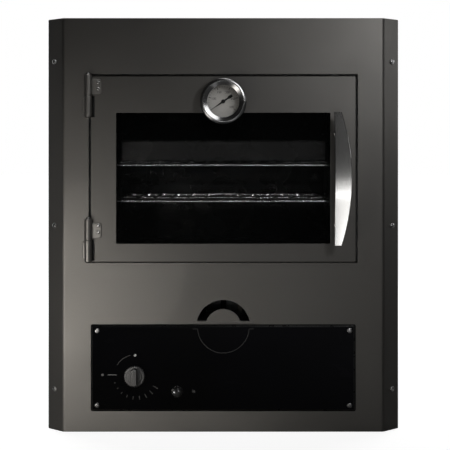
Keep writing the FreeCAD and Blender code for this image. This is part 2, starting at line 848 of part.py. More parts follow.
clips = []
for side in ("-", ""):
    for height in ("window_low + 50", "window_high - 50"):
        clips.append(clip(side, height, "sheet", True))
        clips.append(clip(side, height, inner_u[0], False))
node(group(clips), "glass_clips")

# Rope seal between the door and the mouth frame
seal_u = ("door_depth + 0.3", "casing_front - 0.3")
seal = box(("-seal_half", "seal_half"), seal_u, ("seal_low", "seal_high"))
seal_hole = box(
    ("-seal_half + seal_width", "seal_half - seal_width"), ("door_depth - 1", "casing_front + 1"),
    ("seal_low + seal_width", "seal_high - seal_width"),
)
node(cut(seal, [seal_hole]), "door_seal")

# Magnet catch on the mouth frame
catch_u = ("door_depth + 0.5", "casing_front")
node(box(("seal_half + 1.5", "door_half - sheet - 0.5"), catch_u, ("425", "465")), "door_catch")

# Handle blade, bowed towards the front, and its posts
half_tall = "((handle_high - handle_low) / 2)"
handle_mid = "((handle_high + handle_low) / 2)"
bow_r = f"(({half_tall} * {half_tall} + handle_sag * handle_sag) / (2 * handle_sag))"
edge_sag = "(handle_right - handle_end)"
edge_r = f"(({half_tall} * {half_tall} + {edge_sag} * {edge_sag}) / (2 * {edge_sag}))"
bow_at = ("0", f"{bow_r} - handle_front", handle_mid)
bow = cut(cylinder(bow_r, "300", bow_at, "x"), [cylinder(f"{bow_r} - handle_thick", "300", bow_at, "x")])
edge = cylinder(edge_r, "120", (f"handle_right - {edge_r}", "-100", handle_mid), "u")
blank = box(("handle_left", "handle_right"), ("-handle_front - 10", "0"), ("handle_low", "handle_high"))
node(common(common(blank, edge), bow), "door_handle")
posts = []
for height in post_heights:
    reach = cylinder(f"{bow_r} - handle_thick", "300", bow_at, "x")
    shank = cylinder("post_r", "handle_front + 10", ("post_x", "-handle_front - 10", height), "u")
    stud = cylinder("3", "sheet + 1", ("post_x", "-1", height), "u")
    posts.append(fuse([common(shank, reach), stud]))
node(group(posts), "handle_posts")


def hinge(name, low, split, high):
    """Both halves of a barrel hinge and its pin; the door's half is the upper one."""
    seat = ("hinge_x", "hinge_u", "0")
    fixed = turned([
        ("0", low),
        ("barrel_r", low),
        ("barrel_r", f"{split} - 0.3"),
        ("pin_r + 0.02", f"{split} - 0.3"),
        ("pin_r + 0.02", f"{low} + 10"),
        ("0", f"{low} + 10"),
    ], seat, "XZ_Plane")
    round_edges(fixed, "4", ring_at("z", value(low), value("barrel_r")))
    foot_x = ("hinge_x - barrel_r - 3", "hinge_x - 2")
    foot = box(foot_x, ("hinge_u", "0"), (f"{low} + 6", f"{split} - 3"))
    bore = cylinder("pin_r + 0.02", f"{split} - {low}", ("hinge_x", "hinge_u", f"{low} + 10"))
    node(cut(fuse([fixed, foot]), [bore]), f"{name}_hinge_base")
    moving = turned([
        ("pin_r + running_fit", f"{split} + 0.3"),
        ("barrel_r", f"{split} + 0.3"),
        ("barrel_r", high),
        ("pin_r + running_fit", high),
    ], seat, "XZ_Plane")
    round_edges(moving, "3", ring_at("z", value(high), value("barrel_r")))
    leaf = box(("hinge_x + 3", "leaf_right"), ("-leaf_thick", "0"), (f"{split} + 3", f"{high} - 8"))
    through = cylinder("pin_r + running_fit", f"{high} - {split}", ("hinge_x", "hinge_u", split))
    heights = [height for height in hinge_screw_heights if height.startswith(name)]
    holes = [cylinder("1.6", "10", ("hinge_screw_x", "-6", height), "u") for height in heights]
    node(cut(fuse([moving, leaf]), [through] + holes), f"{name}_hinge_leaf")
    shank = cylinder("pin_r", f"{high} - {low} - 9.7", ("hinge_x", "hinge_u", f"{low} + 10"))
    head = cylinder("pin_r + 1.2", "1.6", ("hinge_x", "hinge_u", f"{high} + 0.3"))
    return fuse([shank, head])


node(group([
    hinge("upper", "upper_hinge_low", "upper_hinge_split", "upper_hinge_high"),
    hinge("lower", "lower_hinge_low", "lower_hinge_split", "lower_hinge_high"),
]), "hinge_pins")
leaf_screws = []
for height in hinge_screw_heights:
    leaf_screws.append(screw(("hinge_screw_x", "-leaf_thick", height), (0, -1, 0), "3", "2", "1.5", "7"))
node(group(leaf_screws), "hinge_screws")

# Thermometer on the top rail, with its stem through the door
gauge = ("0", "0", "gauge_z")
node(turned([
    ("gauge_stem_r + 0.02", "0"),
    ("11", "0"),
    ("11", "-3"),
    ("gauge_case_r", "-3"),
    ("gauge_case_r", "-22"),
    ("gauge_case_r - 2", "-22"),
    ("gauge_case_r - 2", "-9"),
    ("gauge_case_r - 4", "-9"),
    ("gauge_case_r - 4", "-5"),
    ("gauge_stem_r + 0.02", "-5"),
], gauge, "XY_Plane"), "thermometer_case")
bezel = turned([
    ("gauge_view_r", "-24.2"),
    ("gauge_case_r + 0.1", "-24.2"),
    ("gauge_case_r + 0.1", "-13"),
    ("gauge_bezel_r", "-13"),
    ("gauge_bezel_r", "-22"),
    ("gauge_bezel_r - 3", "-26"),
    ("gauge_view_r", "-25"),
], gauge, "XY_Plane")
round_edges(bezel, "1.5", ring_at("y", -22, value("gauge_bezel_r")))
node(bezel, "thermometer_bezel")
dial = cylinder("gauge_case_r - 2.2", "0.8", ("0", "-9.8", "gauge_z"), "u")
node(cut(dial, [cylinder("2", "10", ("0", "-15", "gauge_z"), "u")]), "thermometer_dial")
node(cylinder("gauge_case_r - 0.2", "2", ("0", "-24.1", "gauge_z"), "u"), "thermometer_lens")
stem = fuse([
    cylinder("gauge_stem_r", "gauge_stem_end + 4", ("0", "-4", "gauge_z"), "u"),
    cylinder("8", "5", ("0", "sheet", "gauge_z"), "u"),
])
node(cut(stem, [cylinder("1 + running_fit", "10", ("0", "-5", "gauge_z"), "u")]), "thermometer_stem")

# Pointer: a tapered needle with a broad tail, on a thin axle
needle_tip = math.radians(214.5)
needle = body_at(*gauge)
blade = sketch_on(needle, "XZ_Plane", "11.4")
along = FreeCAD.Vector(math.cos(needle_tip), math.sin(needle_tip), 0)
across = FreeCAD.Vector(-along.y, along.x, 0)
flank = [(0, 1.5), (-9, 1.2), (-12, 2.6), (-18, 2.2)]
corners = [along * 24] + [along * reach + across * half for reach, half in flank]
corners += [along * reach - across * half for reach, half in flank[::-1]]
polygon(blade, [(f"{corner.x:.4f}", f"{corner.y:.4f}") for corner in corners])
pad(needle, blade, "0.8")
axle = cylinder("1", "10.4", ("0", "-13", "gauge_z"), "u")
hub = cylinder("3.4", "2.2", ("0", "-13.4", "gauge_z"), "u")
node(fuse([needle, axle, hub]), "thermometer_pointer")


def rack(level, label):
    """A wire rack: a rod frame, one cross rod and wires laid on top."""
    corners = [(side, place) for side in ("-rack_half", "rack_half") for place in ("rack_front", "rack_deep")]
    pieces = [ball("rail_r", (x, u, level)) for x, u in corners]
    for x in ("-rack_half", "rack_half"):
        pieces.append(cylinder("rail_r", "rack_deep - rack_front", (x, "rack_front", level), "u"))
    for u in ("rack_front", "(rack_front + rack_deep) / 2", "rack_deep"):
        pieces.append(cylinder("rail_r", "2 * rack_half", ("-rack_half", u, level), "x"))
    for step in range(-6, 7):
        seat = (f"{step} * wire_pitch", "rack_front", f"{level} + rail_r + wire_r - 0.6")
        pieces.append(cylinder("wire_r", "rack_deep - rack_front", seat, "u"))
    node(fuse(pieces), label)


rack(levels[2], "upper_rack")
rack(levels[1], "lower_rack")

# Roasting tray on the upper rack
tray_z = f"{levels[2]} + rail_r + 2 * wire_r - 0.6 + rest_gap"
tray = body_at("0", "tray_front", tray_z)
tray_long = "(tray_deep - tray_front)"
tray_base = sketch_on(tray, "XY_Plane")
tray_floor_x = ("-tray_half + tray_rim", "tray_half - tray_rim")
rectangle(tray_base, tray_floor_x, ("tray_rim", f"{tray_long} - tray_rim"))
pad(tray, tray_base, "tray_tall")
round_edges(tray, "16", runs_along(FreeCAD.Vector(0, 0, 1)))
tray_top = sketch_on(tray, "XY_Plane", "tray_tall - tray_sheet")
rectangle(tray_top, ("-tray_half", "tray_half"), ("0", tray_long))
pad(tray, tray_top, "tray_sheet")
round_edges(tray, "20", runs_along(FreeCAD.Vector(0, 0, 1), 0, 2))
inset = "(tray_rim + tray_sheet)"
well = body_at("0", "tray_front", f"{tray_z} + tray_sheet")
well_base = sketch_on(well, "XY_Plane")
rectangle(well_base, (f"-tray_half + {inset}", f"tray_half - {inset}"), (inset, f"{tray_long} - {inset}"))
pad(well, well_base, "tray_tall")
round_edges(well, "14.5", runs_along(FreeCAD.Vector(0, 0, 1)))
node(cut(tray, [well]), "roasting_tray")

# Check every object and write the sub-parts
doc.recompute()
for item in doc.Objects:
    if "Invalid" in item.State or "Error" in item.State:
        raise RuntimeError(f"{item.Name} {item.Label} is {item.State}")
os.makedirs("parts", exist_ok=True)
for item in nodes:
    if item.Shape.isNull() or not item.Shape.isValid():
        raise RuntimeError(f"{item.Label} has no valid shape")
    item.Shape.exportStep(f"parts/{item.Label}.step")
print("nodes", len(nodes))
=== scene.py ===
import json
import math

import bmesh
import bpy
from mathutils import Matrix, Vector


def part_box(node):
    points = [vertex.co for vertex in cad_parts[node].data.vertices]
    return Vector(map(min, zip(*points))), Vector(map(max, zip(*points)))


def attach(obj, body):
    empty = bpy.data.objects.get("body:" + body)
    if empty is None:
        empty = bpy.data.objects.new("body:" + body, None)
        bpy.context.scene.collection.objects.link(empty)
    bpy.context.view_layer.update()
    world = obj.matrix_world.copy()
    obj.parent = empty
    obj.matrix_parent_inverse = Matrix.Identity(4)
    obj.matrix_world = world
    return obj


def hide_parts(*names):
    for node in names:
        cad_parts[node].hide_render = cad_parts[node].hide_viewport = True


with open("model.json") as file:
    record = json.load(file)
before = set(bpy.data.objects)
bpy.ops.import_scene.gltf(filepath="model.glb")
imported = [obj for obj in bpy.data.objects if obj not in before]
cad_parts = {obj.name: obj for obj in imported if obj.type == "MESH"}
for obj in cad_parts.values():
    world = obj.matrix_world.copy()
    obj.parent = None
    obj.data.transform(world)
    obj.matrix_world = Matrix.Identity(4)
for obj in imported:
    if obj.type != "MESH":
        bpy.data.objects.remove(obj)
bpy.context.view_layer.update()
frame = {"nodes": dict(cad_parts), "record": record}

# Shapes are drawn in millimetres: x to the right, u behind the front face, z up.
MM = 0.001
FRONT_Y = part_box("front_panel")[0].y
INTO_ROW = Matrix.Translation((0, FRONT_Y, 0)) @ Matrix.Scale(MM, 4)
LEVEL = Matrix.Rotation(-math.pi / 2, 4, "X")
SHEET = 2.0


def span(node):
    """The x, depth and height limits of a CAD node, in millimetres."""
    low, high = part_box(node)
    shift = Vector((0, FRONT_Y, 0))
    return list(zip((low - shift) / MM, (high - shift) / MM))


def facing(x, z, u=0.0):
    """A turn that stands a lathe's axis out of the front at a point."""
    return Matrix.Translation((x, u, z)) @ Matrix.Rotation(math.pi / 2, 4, "X")


def arc(x, z, radius, start, end, steps=5):
    """Points on an arc about a middle, between two angles in degrees."""
    angles = [math.radians(start + (end - start) * step / steps) for step in range(steps + 1)]
    return [(x + radius * math.cos(angle), z + radius * math.sin(angle)) for angle in angles]


# Outlines: each one gives its points for an inset


def rounded(x, z, radius, steps=5):
    """A rectangle between two x and two z with round corners."""
    corners = ((1, 1, 0), (-1, 1, 90), (-1, -1, 180), (1, -1, 270))

    def outline(inset):
        bend = max(radius - inset, 0.05)
        points = []
        for across, up, start in corners:
            middle_x = x[(across + 1) // 2] - across * (inset + bend)
            middle_z = z[(up + 1) // 2] - up * (inset + bend)
            points += arc(middle_x, middle_z, bend, start, start + 90, steps)
        return points
    return outline


def grown(x, z, amount, radius, steps=5):
    """A rounded rectangle grown outwards on every side."""
    return rounded((x[0] - amount, x[1] + amount), (z[0] - amount, z[1] + amount), radius, steps)


def disc(x, z, radius, steps=48, flutes=0, flute=0.0):
    """A circle, with flutes cut into it where they are asked for."""
    def outline(inset):
        points = []
        for step in range(steps):
            angle = 2 * math.pi * step / steps
            dip = flute * (0.5 - 0.5 * math.cos(flutes * angle))
            reach = radius - inset - dip
            points.append((x + reach * math.cos(angle), z + reach * math.sin(angle)))
        return points
    return outline


def arch(z, outer, inner, sill, steps=40):
    """A half ring standing on a level sill."""
    def outline(inset):
        points = []
        for radius, order in ((outer - inset, 1), (inner + inset, -1)):
            start = math.asin((sill + inset - z) / radius)
            angles = [start + (math.pi - 2 * start) * step / steps for step in range(steps + 1)]
            for angle in angles[::order]:
                points.append((radius * math.cos(angle), z + radius * math.sin(angle)))
        return points
    return outline


def cross(arm, width):
    """The recess of a cross-head screw."""
    def outline(inset):
        long = arm - inset
        half = width - inset
        arm_end = [(long, -half), (long, half), (half, half)]
        points = []
        for turn in range(4):
            for a, b in arm_end:
                for _ in range(turn):
                    a, b = -b, a
                points.append((a, b))
        return points
    return outline


# Mesh tools


def ring(shape, points, depth):
    """Vertices round an outline at one depth."""
    return [shape.verts.new((x, depth, z)) for x, z in points]


def bridge(shape, first, second):
    """A strip of faces between two rings."""
    for index, corner in enumerate(first):
        after = (index + 1) % len(first)
        shape.faces.new((corner, first[after], second[after], second[index]))


def fill(shape, rings):
    """Close the flat area between an outer ring and its holes."""
    edges = []
    for loop in rings:
        for start, end in zip(loop, loop[1:] + loop[:1]):
            edges.append(shape.edges.get((start, end)) or shape.edges.new((start, end)))
    bmesh.ops.triangle_fill(shape, use_beauty=True, use_dissolve=False, edges=edges)


def stack(shape, outline, profile):
    """Rings of one outline at inset and depth pairs, joined in turn; gives the first and last ring."""
    rings = [ring(shape, outline(inset), depth) for inset, depth in profile]
    for first, second in zip(rings, rings[1:]):
        bridge(shape, first, second)
    return rings[0], rings[-1]


def round_off(size, steps):
    """Inset and depth pairs over a rounded edge, from the side to the face."""
    turns = [math.pi / 2 * step / steps for step in range(steps + 1)]
    return [(size * (1 - math.cos(turn)), size * (1 - math.sin(turn))) for turn in turns]


def slab(shape, outer, front, back, edge=0.5, steps=3, holes=(), hole_edge=0.4, wells=()):
    """A plate between two depths with rounded front edges, through holes and blind wells."""
    fronts = []
    backs = []
    outlines = [(outer, 1, edge)] + [(hole, -1, hole_edge) for hole in holes]
    for outline, sign, size in outlines:
        profile = [(0, back)] + [(sign * inset, front + depth) for inset, depth in round_off(size, steps)]
        first, last = stack(shape, outline, profile)
        backs.append(first)
        fronts.append(last)
    for outline, deep in wells:
        rim, floor = stack(shape, outline, [(0, front), (0, front + deep)])
        fill(shape, [floor])
        fronts.append(rim)
    fill(shape, fronts)
    fill(shape, backs)


def lathe(shape, profile, matrix, steps=64, closed=False):
    """Turn a profile of radius and height pairs about the matrix's own Z axis."""
    loops = []
    for radius, height in profile:
        count = steps if radius > 0 else 1
        loop = []
        for step in range(count):
            angle = 2 * math.pi * step / steps
            spot = Vector((radius * math.cos(angle), radius * math.sin(angle), height))
            loop.append(shape.verts.new(matrix @ spot))
        loops.append(loop)
    pairs = list(zip(loops, loops[1:]))
    if closed:
        pairs.append((loops[-1], loops[0]))
    for first, second in pairs:
        if len(first) == len(second):
            bridge(shape, first, second)
            continue
        tip, loop = (first[0], second) if len(first) == 1 else (second[0], first)
        for start, end in zip(loop, loop[1:] + loop[:1]):
            shape.faces.new((start, end, tip))


def add(shape, part, *matrices):
    """Copy a part into a shape, moved by each matrix, and let the part go."""
    for matrix in matrices:
        copy = bpy.data.meshes.new("copy")
        part.to_mesh(copy)
        copy.transform(matrix)
        shape.from_mesh(copy)
        bpy.data.meshes.remove(copy)
    part.free()


def link(item):
    """Put an object into the scene."""
    bpy.context.scene.collection.objects.link(item)


def baked(shape, item, matrix=Matrix()):
    """Add a curve or text object to a shape as a mesh and remove the object."""
    link(item)
    graph = bpy.context.evaluated_depsgraph_get()
    mesh = bpy.data.meshes.new_from_object(item.evaluated_get(graph))
    mesh.transform(matrix)
    shape.from_mesh(mesh)
    bpy.data.objects.remove(item)
    bpy.data.meshes.remove(mesh)


def wires(shape, radius, runs, resolution=4):
    """Round wires along runs of points; a run is closed where its flag says so."""
    curve = bpy.data.curves.new("wires", "CURVE")
    curve.dimensions = "3D"
    curve.bevel_depth = radius
    curve.bevel_resolution = resolution
    curve.use_fill_caps = True
    for points, closed in runs:
        spline = curve.splines.new("POLY")
        spline.points.add(len(points) - 1)
        for place, point in zip(spline.points, points):
            place.co = (*point, 1)
        spline.use_cyclic_u = closed
    baked(shape, bpy.data.objects.new("wires", curve))


def even_normals(item):
    """Weigh the normals by area, so that flat faces stay flat beside rounded edges."""
    modifier = item.modifiers.new("normals", "WEIGHTED_NORMAL")
    modifier.keep_sharp = True
    modifier.weight = 90


def placed(name, shape, material):
    """A scene object of a drawn shape."""
    mesh = bpy.data.meshes.new(name)
    shape.to_mesh(mesh)
    shape.free()
    mesh.materials.append(material)
    item = bpy.data.objects.new(name, mesh)
    link(item)
    return item


def piece(name, shape, slot, body, stands_for=(), crease=40, material=None):
    """An object of a drawn shape, with its finish, its body and the nodes that it stands for."""
    bmesh.ops.recalc_face_normals(shape, faces=shape.faces)
    shape.transform(INTO_ROW)
    item = placed(name, shape, material or FINISH[slot])
    item.data.shade_smooth()
    item.data.set_sharp_from_angle(angle=math.radians(crease))
    even_normals(item)
    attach(item, body)
    if stands_for:
        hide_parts(*stands_for)


# Finishes


class Finish:
    """A procedural material: one principled shader and the textures that feed it."""

    def __init__(self, name, **sockets):
        self.name = name
        self.material = bpy.data.materials.new(name)
        self.material.use_nodes = True
        self.nodes = self.material.node_tree.nodes
        self.links = self.material.node_tree.links
        self.shader = self.nodes["Principled BSDF"]
        self.place = self.nodes.new("ShaderNodeTexCoord").outputs["Object"]
        for socket, setting in sockets.items():
            self.shader.inputs[socket.replace("_", " ")].default_value = setting

    def texture(self, kind, stretch, **settings):
        """A texture node on object coordinates, stretched along each axis."""
        mapping = self.nodes.new("ShaderNodeMapping")
        mapping.inputs["Scale"].default_value = stretch
        self.links.new(self.place, mapping.inputs["Vector"])
        node = self.nodes.new(kind)
        for socket, setting in settings.items():
            node.inputs[socket].default_value = setting
        self.links.new(mapping.outputs["Vector"], node.inputs["Vector"])
        return node

    def noise(self, scale, detail=3.0, stretch=(1, 1, 1)):
        return self.texture("ShaderNodeTexNoise", stretch, Scale=scale, Detail=detail).outputs["Fac"]

    def cells(self, scale, output="Color"):
        return self.texture("ShaderNodeTexVoronoi", (1, 1, 1), Scale=scale).outputs[output]

    def ramp(self, source, dark, light, low=0.3, high=0.7):
        """A colour between dark and light as the source goes from low to high; a number is a grey."""
        node = self.nodes.new("ShaderNodeValToRGB")
        for stop, position, colour in zip(node.color_ramp.elements, (low, high), (dark, light)):
            stop.position = position
            shade = grey(colour) if isinstance(colour, float) else colour
            stop.color = (*shade, 1)
        self.links.new(source, node.inputs["Fac"])
        return node.outputs["Color"]

    def mix(self, first, second, amount=None):
        """Two colours multiplied, or the second laid over the first by an amount."""
        node = self.nodes.new("ShaderNodeMix")
        node.data_type = "RGBA"
        if amount is None:
            node.blend_type = "MULTIPLY"
            node.inputs["Factor"].default_value = 1
        else:
            self.links.new(amount, node.inputs["Factor"])
        self.links.new(first, node.inputs["A"])
        self.links.new(second, node.inputs["B"])
        return node.outputs["Result"]

    def colour(self, source):
        self.links.new(source, self.shader.inputs["Base Color"])

    def roughness(self, source, low, high):
        """Roughness between two values as the source goes over its middle range."""
        node = self.nodes.new("ShaderNodeMapRange")
        for socket, setting in zip(("From Min", "From Max", "To Min", "To Max"), (0.3, 0.7, low, high)):
            node.inputs[socket].default_value = setting
        self.links.new(source, node.inputs["Value"])
        self.links.new(node.outputs["Result"], self.shader.inputs["Roughness"])

    def bump(self, source, strength, distance=0.0005):
        node = self.nodes.new("ShaderNodeBump")
        node.inputs["Strength"].default_value = strength
        node.inputs["Distance"].default_value = distance
        self.links.new(source, node.inputs["Height"])
        before = self.shader.inputs["Normal"]
        if before.is_linked:
            self.links.new(before.links[0].from_socket, node.inputs["Normal"])
        self.links.new(node.outputs["Normal"], before)


def grey(level, warm=0.0):
    """A grey, a little warm where asked."""
    return (level * (1 + warm), level, level * (1 - 1.6 * warm))


def plain(name, dark, light, rough, tone=6.0, grain=(400.0, 0.05), stretch=(1, 1, 1), **sockets):
    """A finish with slow tone changes, uneven gloss and a fine grain."""
    made = Finish(name, **sockets)
    tones = made.noise(tone, 4, stretch)
    fine = made.noise(grain[0], 2, stretch)
    speckle = made.ramp(fine, 0.92, 1.0)
    made.colour(made.mix(made.ramp(tones, dark, light), speckle))
    made.roughness(made.noise(tone * 3, 3, stretch), *rough)
    made.bump(fine, grain[1])
    return made


def satin_paint(name, level, rough):
    """Graphite satin paint with a metallic pigment and a faint orange peel."""
    made = plain(name, grey(level * 0.9, 0.03), grey(level * 1.08, 0.035), rough, 2.4, (1500.0, 0.03),
                 Metallic=0.93)
    made.bump(made.noise(330, 1), 0.035)
    return made


def spangled_steel(name):
    """Galvanised sheet with its crystal spangle."""
    made = Finish(name, Metallic=0.9)
    spangle = made.cells(115)
    worn = made.ramp(made.noise(5, 5), 0.8, 1.0, 0.35)
    made.colour(made.mix(made.ramp(spangle, 0.47, (0.55, 0.562, 0.575), 0.1, 0.9), worn))
    made.roughness(spangle, 0.37, 0.46)
    made.bump(made.noise(240, 2), 0.04)
    return made


def speckled_enamel(name, level, fleck):
    """Dark vitreous enamel with pale flecks and a slight waviness."""
    made = Finish(name, Coat_Weight=0.4, Coat_Roughness=0.08)
    ground = made.ramp(made.noise(9, 3), level * 0.8, level * 1.2)
    flecks = made.ramp(made.cells(420, "Distance"), 1.0, 0.0, 0.06, 0.12)
    pale = made.ramp(made.noise(30, 2), fleck * 0.4, fleck, 0.4, 0.6)
    made.colour(made.mix(ground, pale, flecks))
    made.roughness(made.noise(24, 4), 0.2, 0.34)
    made.bump(made.noise(90, 2), 0.05)
    return made


def door_glass(name, cover):
    """Tinted glass that lets part of the light through, with faint wipe marks."""
    made = Finish(name, Alpha=cover, IOR=1.5, Specular_IOR_Level=0.25)
    made.colour(made.ramp(made.noise(6, 4), (0.004, 0.005, 0.005), (0.008, 0.009, 0.009)))
    made.roughness(made.noise(7, 5, (1, 1, 3)), 0.02, 0.05)
    made.bump(made.noise(3, 1), 0.01)
    return made


def rope(name):
    """Braided glass-fibre rope."""
    made = Finish(name, Roughness=0.85, Sheen_Weight=0.3)
    wave = made.texture("ShaderNodeTexWave", (1, 1, 1), Scale=230, Distortion=1.5)
    wave.bands_direction = "DIAGONAL"
    braid = wave.outputs["Fac"]
    soot = made.ramp(made.noise(30, 4), grey(0.7, 0.05), 1.0)
    made.colour(made.mix(made.ramp(braid, grey(0.15, 0.04), grey(0.36, 0.05), 0.2, 0.8), soot))
    made.bump(braid, 0.6, 0.001)
    return made


def wool(name):
    """Mineral wool with matted fibres."""
    made = Finish(name, Roughness=0.95, Sheen_Weight=0.4)
    fibres = made.noise(160, 8, (1, 5, 2))
    made.colour(made.ramp(fibres, (0.42, 0.37, 0.2), (0.74, 0.68, 0.46)))
    made.bump(fibres, 0.8, 0.003)
    return made


def gloss_black(name, rough):
    """Black gloss enamel with wipe marks and a little dust."""
    made = Finish(name, IOR=1.5, Specular_IOR_Level=0.05)
    ground = made.ramp(made.noise(5, 3), 0.02, (0.024, 0.024, 0.03))
    dust = made.ramp(made.noise(1300, 2), 0.0, 0.35, 0.7, 0.8)
    made.colour(made.mix(ground, made.ramp(made.noise(3), 0.02, 0.035), dust))
    made.roughness(made.noise(8, 5, (1, 1, 2.5)), *rough)
    made.bump(made.noise(55, 1), 0.012)
    return made


def brushed(name, level, rough, stretch):
    """Brushed metal with its streaks along one axis."""
    made = Finish(name, Metallic=1.0)
    streaks = made.noise(900, 3, stretch)
    made.colour(made.ramp(streaks, level * 0.9, level))
    made.roughness(streaks, *rough)
    made.bump(streaks, 0.02, 0.0002)
    return made


METAL = {"Metallic": 1.0}
COPPER = ((0.55, 0.26, 0.14), (0.76, 0.42, 0.26))
FINISH = {made.name: made.material for made in (
    satin_paint("front_paint", 0.2, (0.44, 0.5)),
    gloss_black("black_plate", (0.2, 0.28)),
    spangled_steel("casing_steel"),
    speckled_enamel("cavity_enamel", 0.012, 0.12),
    speckled_enamel("tray_enamel", 0.042, 0.2),
    plain("rack_wire", grey(0.56, 0.01), 0.74, (0.17, 0.2), 8, (900, 0.01), **METAL),
    brushed("handle_steel", 0.75, (0.14, 0.2), (1, 1, 0.015)),
    satin_paint("hinge_steel", 0.3, (0.38, 0.44)),
    plain("fastener_steel", 0.42, 0.58, (0.2, 0.34), 60, (900, 0.04), **METAL),
    plain("bezel_chrome", 0.4, 0.48, (0.18, 0.24), 20, (900, 0.01), **METAL),
    plain("dial_face", grey(0.72, 0.03), grey(0.82, 0.03), (0.35, 0.5), 40, (1200, 0.03)),
    plain("pointer_black", 0.006, 0.012, (0.3, 0.45), 60),
    door_glass("clear_glass", 0.12),
    rope("seal_rope"),
    wool("mineral_wool"),
    brushed("knob_metal", 0.16, (0.42, 0.5), (1, 1, 0.3)),
    plain("igniter_black", 0.006, 0.011, (0.07, 0.14), 40, (600, 0.01),
          Coat_Weight=0.5, Coat_Roughness=0.05),
    plain("catch_plastic", 0.03, 0.05, (0.5, 0.65), 30),
    plain("brass", (0.55, 0.38, 0.14), (0.72, 0.54, 0.24), (0.22, 0.4), 25, **METAL),
    plain("pipe_steel", 0.4, (0.52, 0.53, 0.54), (0.3, 0.45), 18, **METAL),
    plain("pipe_copper", *COPPER, (0.22, 0.4), 16, **METAL),
    plain("electrode_ceramic", (0.74, 0.71, 0.64), (0.86, 0.84, 0.79), (0.3, 0.5), 40),
    plain("lead_rubber", (0.2, 0.03, 0.02), (0.28, 0.045, 0.035), (0.55, 0.7), 40),
)}
LENS_GLASS = door_glass("lens_glass", 0.1).material
WHITE_PRINT = plain("white_print", 0.62, 0.78, (0.4, 0.55), 90).material
GREY_PRINT = plain("grey_print", 0.14, 0.2, (0.4, 0.55), 90).material
FAINT_PRINT = plain("faint_print", 0.06, 0.08, (0.4, 0.55), 90).material
CAP_METAL = brushed("cap_metal", 0.5, (0.3, 0.36), (1, 1, 0.3)).material
BLACK_PRINT = plain("black_print", 0.008, 0.016, (0.4, 0.55), 90).material
PLATE_EDGE = plain("plate_edge", 0.02, 0.03, (0.26, 0.34), 40).material
# Near-black for the band round the control plate: painted shadow, not a rubber part
PLATE_SHADOW = plain("plate_shadow_black", 0.005, 0.009, (0.7, 0.85), 40).material
# Near-black copper for the thermocouple and burner feed pipe: painted shade on the copper that shows
# through the arched slot
SHADE_DARK_COPPER = plain("shade_darkened_copper", (0.03, 0.02, 0.016), (0.06, 0.035, 0.025), (0.5, 0.65), 30).material

OWN_FINISH = {"thermometer_lens": LENS_GLASS, "thermocouple": SHADE_DARK_COPPER, "burner_feed_pipe": SHADE_DARK_COPPER}
for entry in frame["record"]["subparts"]:
    own = OWN_FINISH.get(entry["node"])
    frame["nodes"][entry["node"]].material_slots[0].material = own or FINISH[entry["material_slot"]]

# Softened edges on the sheet-metal nodes that stay
MERGE_WITHIN = 0.00001
SOFT_EDGE = 0.0004
for name in ("casing_left", "casing_right", "casing_top", "casing_back", "casing_base", "mouth_frame",
             "door_inner_panel", "flue_collar", "rack_support_left", "rack_support_right", "door_catch"):
    sheet_node = frame["nodes"][name]
    weld = sheet_node.modifiers.new("weld", "WELD")
    weld.merge_threshold = MERGE_WITHIN
    soften = sheet_node.modifiers.new("soften", "BEVEL")
    soften.width = SOFT_EDGE
    soften.segments = 2
    soften.limit_method = "ANGLE"
    soften.angle_limit = math.radians(40)
    even_normals(sheet_node)

# Front panel: one sheet, folded back at both sides
(_, front_right), (_, facet_back), (_, front_high) = span("front_panel")
door_x, _, door_z = span("door_outer_panel")
plate_x, (plate_front, _), plate_z = span("control_plate")
DOOR_GAP = 3.0
GAP_BELOW = 1.0
FOLD_X = front_right - facet_back
FOLD_R = 9.0
FOLD_TURN = math.pi / 4
FOLD_STEPS = 6
FLANGE_SET = 0.3
CONTROL_HOLE_X = (-200, 200)
CONTROL_HOLE_Z = (52, 166)
ARCH_Z = 177.5
ARCH = arch(z=ARCH_Z, outer=45.5, inner=30.5, sill=187.7)
fold_start = FOLD_X - FOLD_R * math.tan(FOLD_TURN / 2)
facet_run = (front_right - fold_start - FOLD_R * math.sin(FOLD_TURN)) / math.cos(FOLD_TURN)
flat_half = fold_start + FOLD_R * FOLD_TURN + facet_run


def fold_back(shape):
    """Bend the sheet round the fold radius beyond both fold lines."""
    for side in (-1, 1):
        for step in range(FOLD_STEPS + 1):
            line = side * (fold_start + FOLD_R * FOLD_TURN * step / FOLD_STEPS)
            everything = shape.verts[:] + shape.edges[:] + shape.faces[:]
            bmesh.ops.bisect_plane(shape, geom=everything, plane_co=(line, 0, 0), plane_no=(1, 0, 0))
    for vert in shape.verts:
        x, depth, _ = vert.co
        over = abs(x) - fold_start
        if over <= 0:
            continue
        turn = min(over / FOLD_R, FOLD_TURN)
        straight = max(over - FOLD_R * FOLD_TURN, 0)
        reach = FOLD_R - depth
        vert.co.x = math.copysign(
            fold_start + reach * math.sin(turn) + straight * math.cos(FOLD_TURN), x)
        vert.co.y = FOLD_R - reach * math.cos(turn) + straight * math.sin(FOLD_TURN)


door_hole = rounded(
    (door_x[0] - DOOR_GAP, door_x[1] + DOOR_GAP), (door_z[0] - GAP_BELOW, door_z[1] + DOOR_GAP), 1.5)
control_hole = rounded(CONTROL_HOLE_X, CONTROL_HOLE_Z, 3)
shape = bmesh.new()
slab(shape, rounded((-flat_half, flat_half), (0, front_high), 1.6), 0, SHEET, 0.9,
     holes=(door_hole, control_hole, ARCH), hole_edge=0.5)
fold_back(shape)
piece("front_sheet", shape, "front_paint", "oven_body", ["front_panel"])


def plan(inset):
    """The space behind the folded sheet, seen from above."""
    back = front_right - SHEET * math.sqrt(2)
    near = FOLD_X - SHEET * math.tan(FOLD_TURN / 2)
    return [
        (-near + inset, SHEET + inset), (near - inset, SHEET + inset),
        (back - 1.4 * inset, facet_back - inset), (-back + 1.4 * inset, facet_back - inset),
    ]


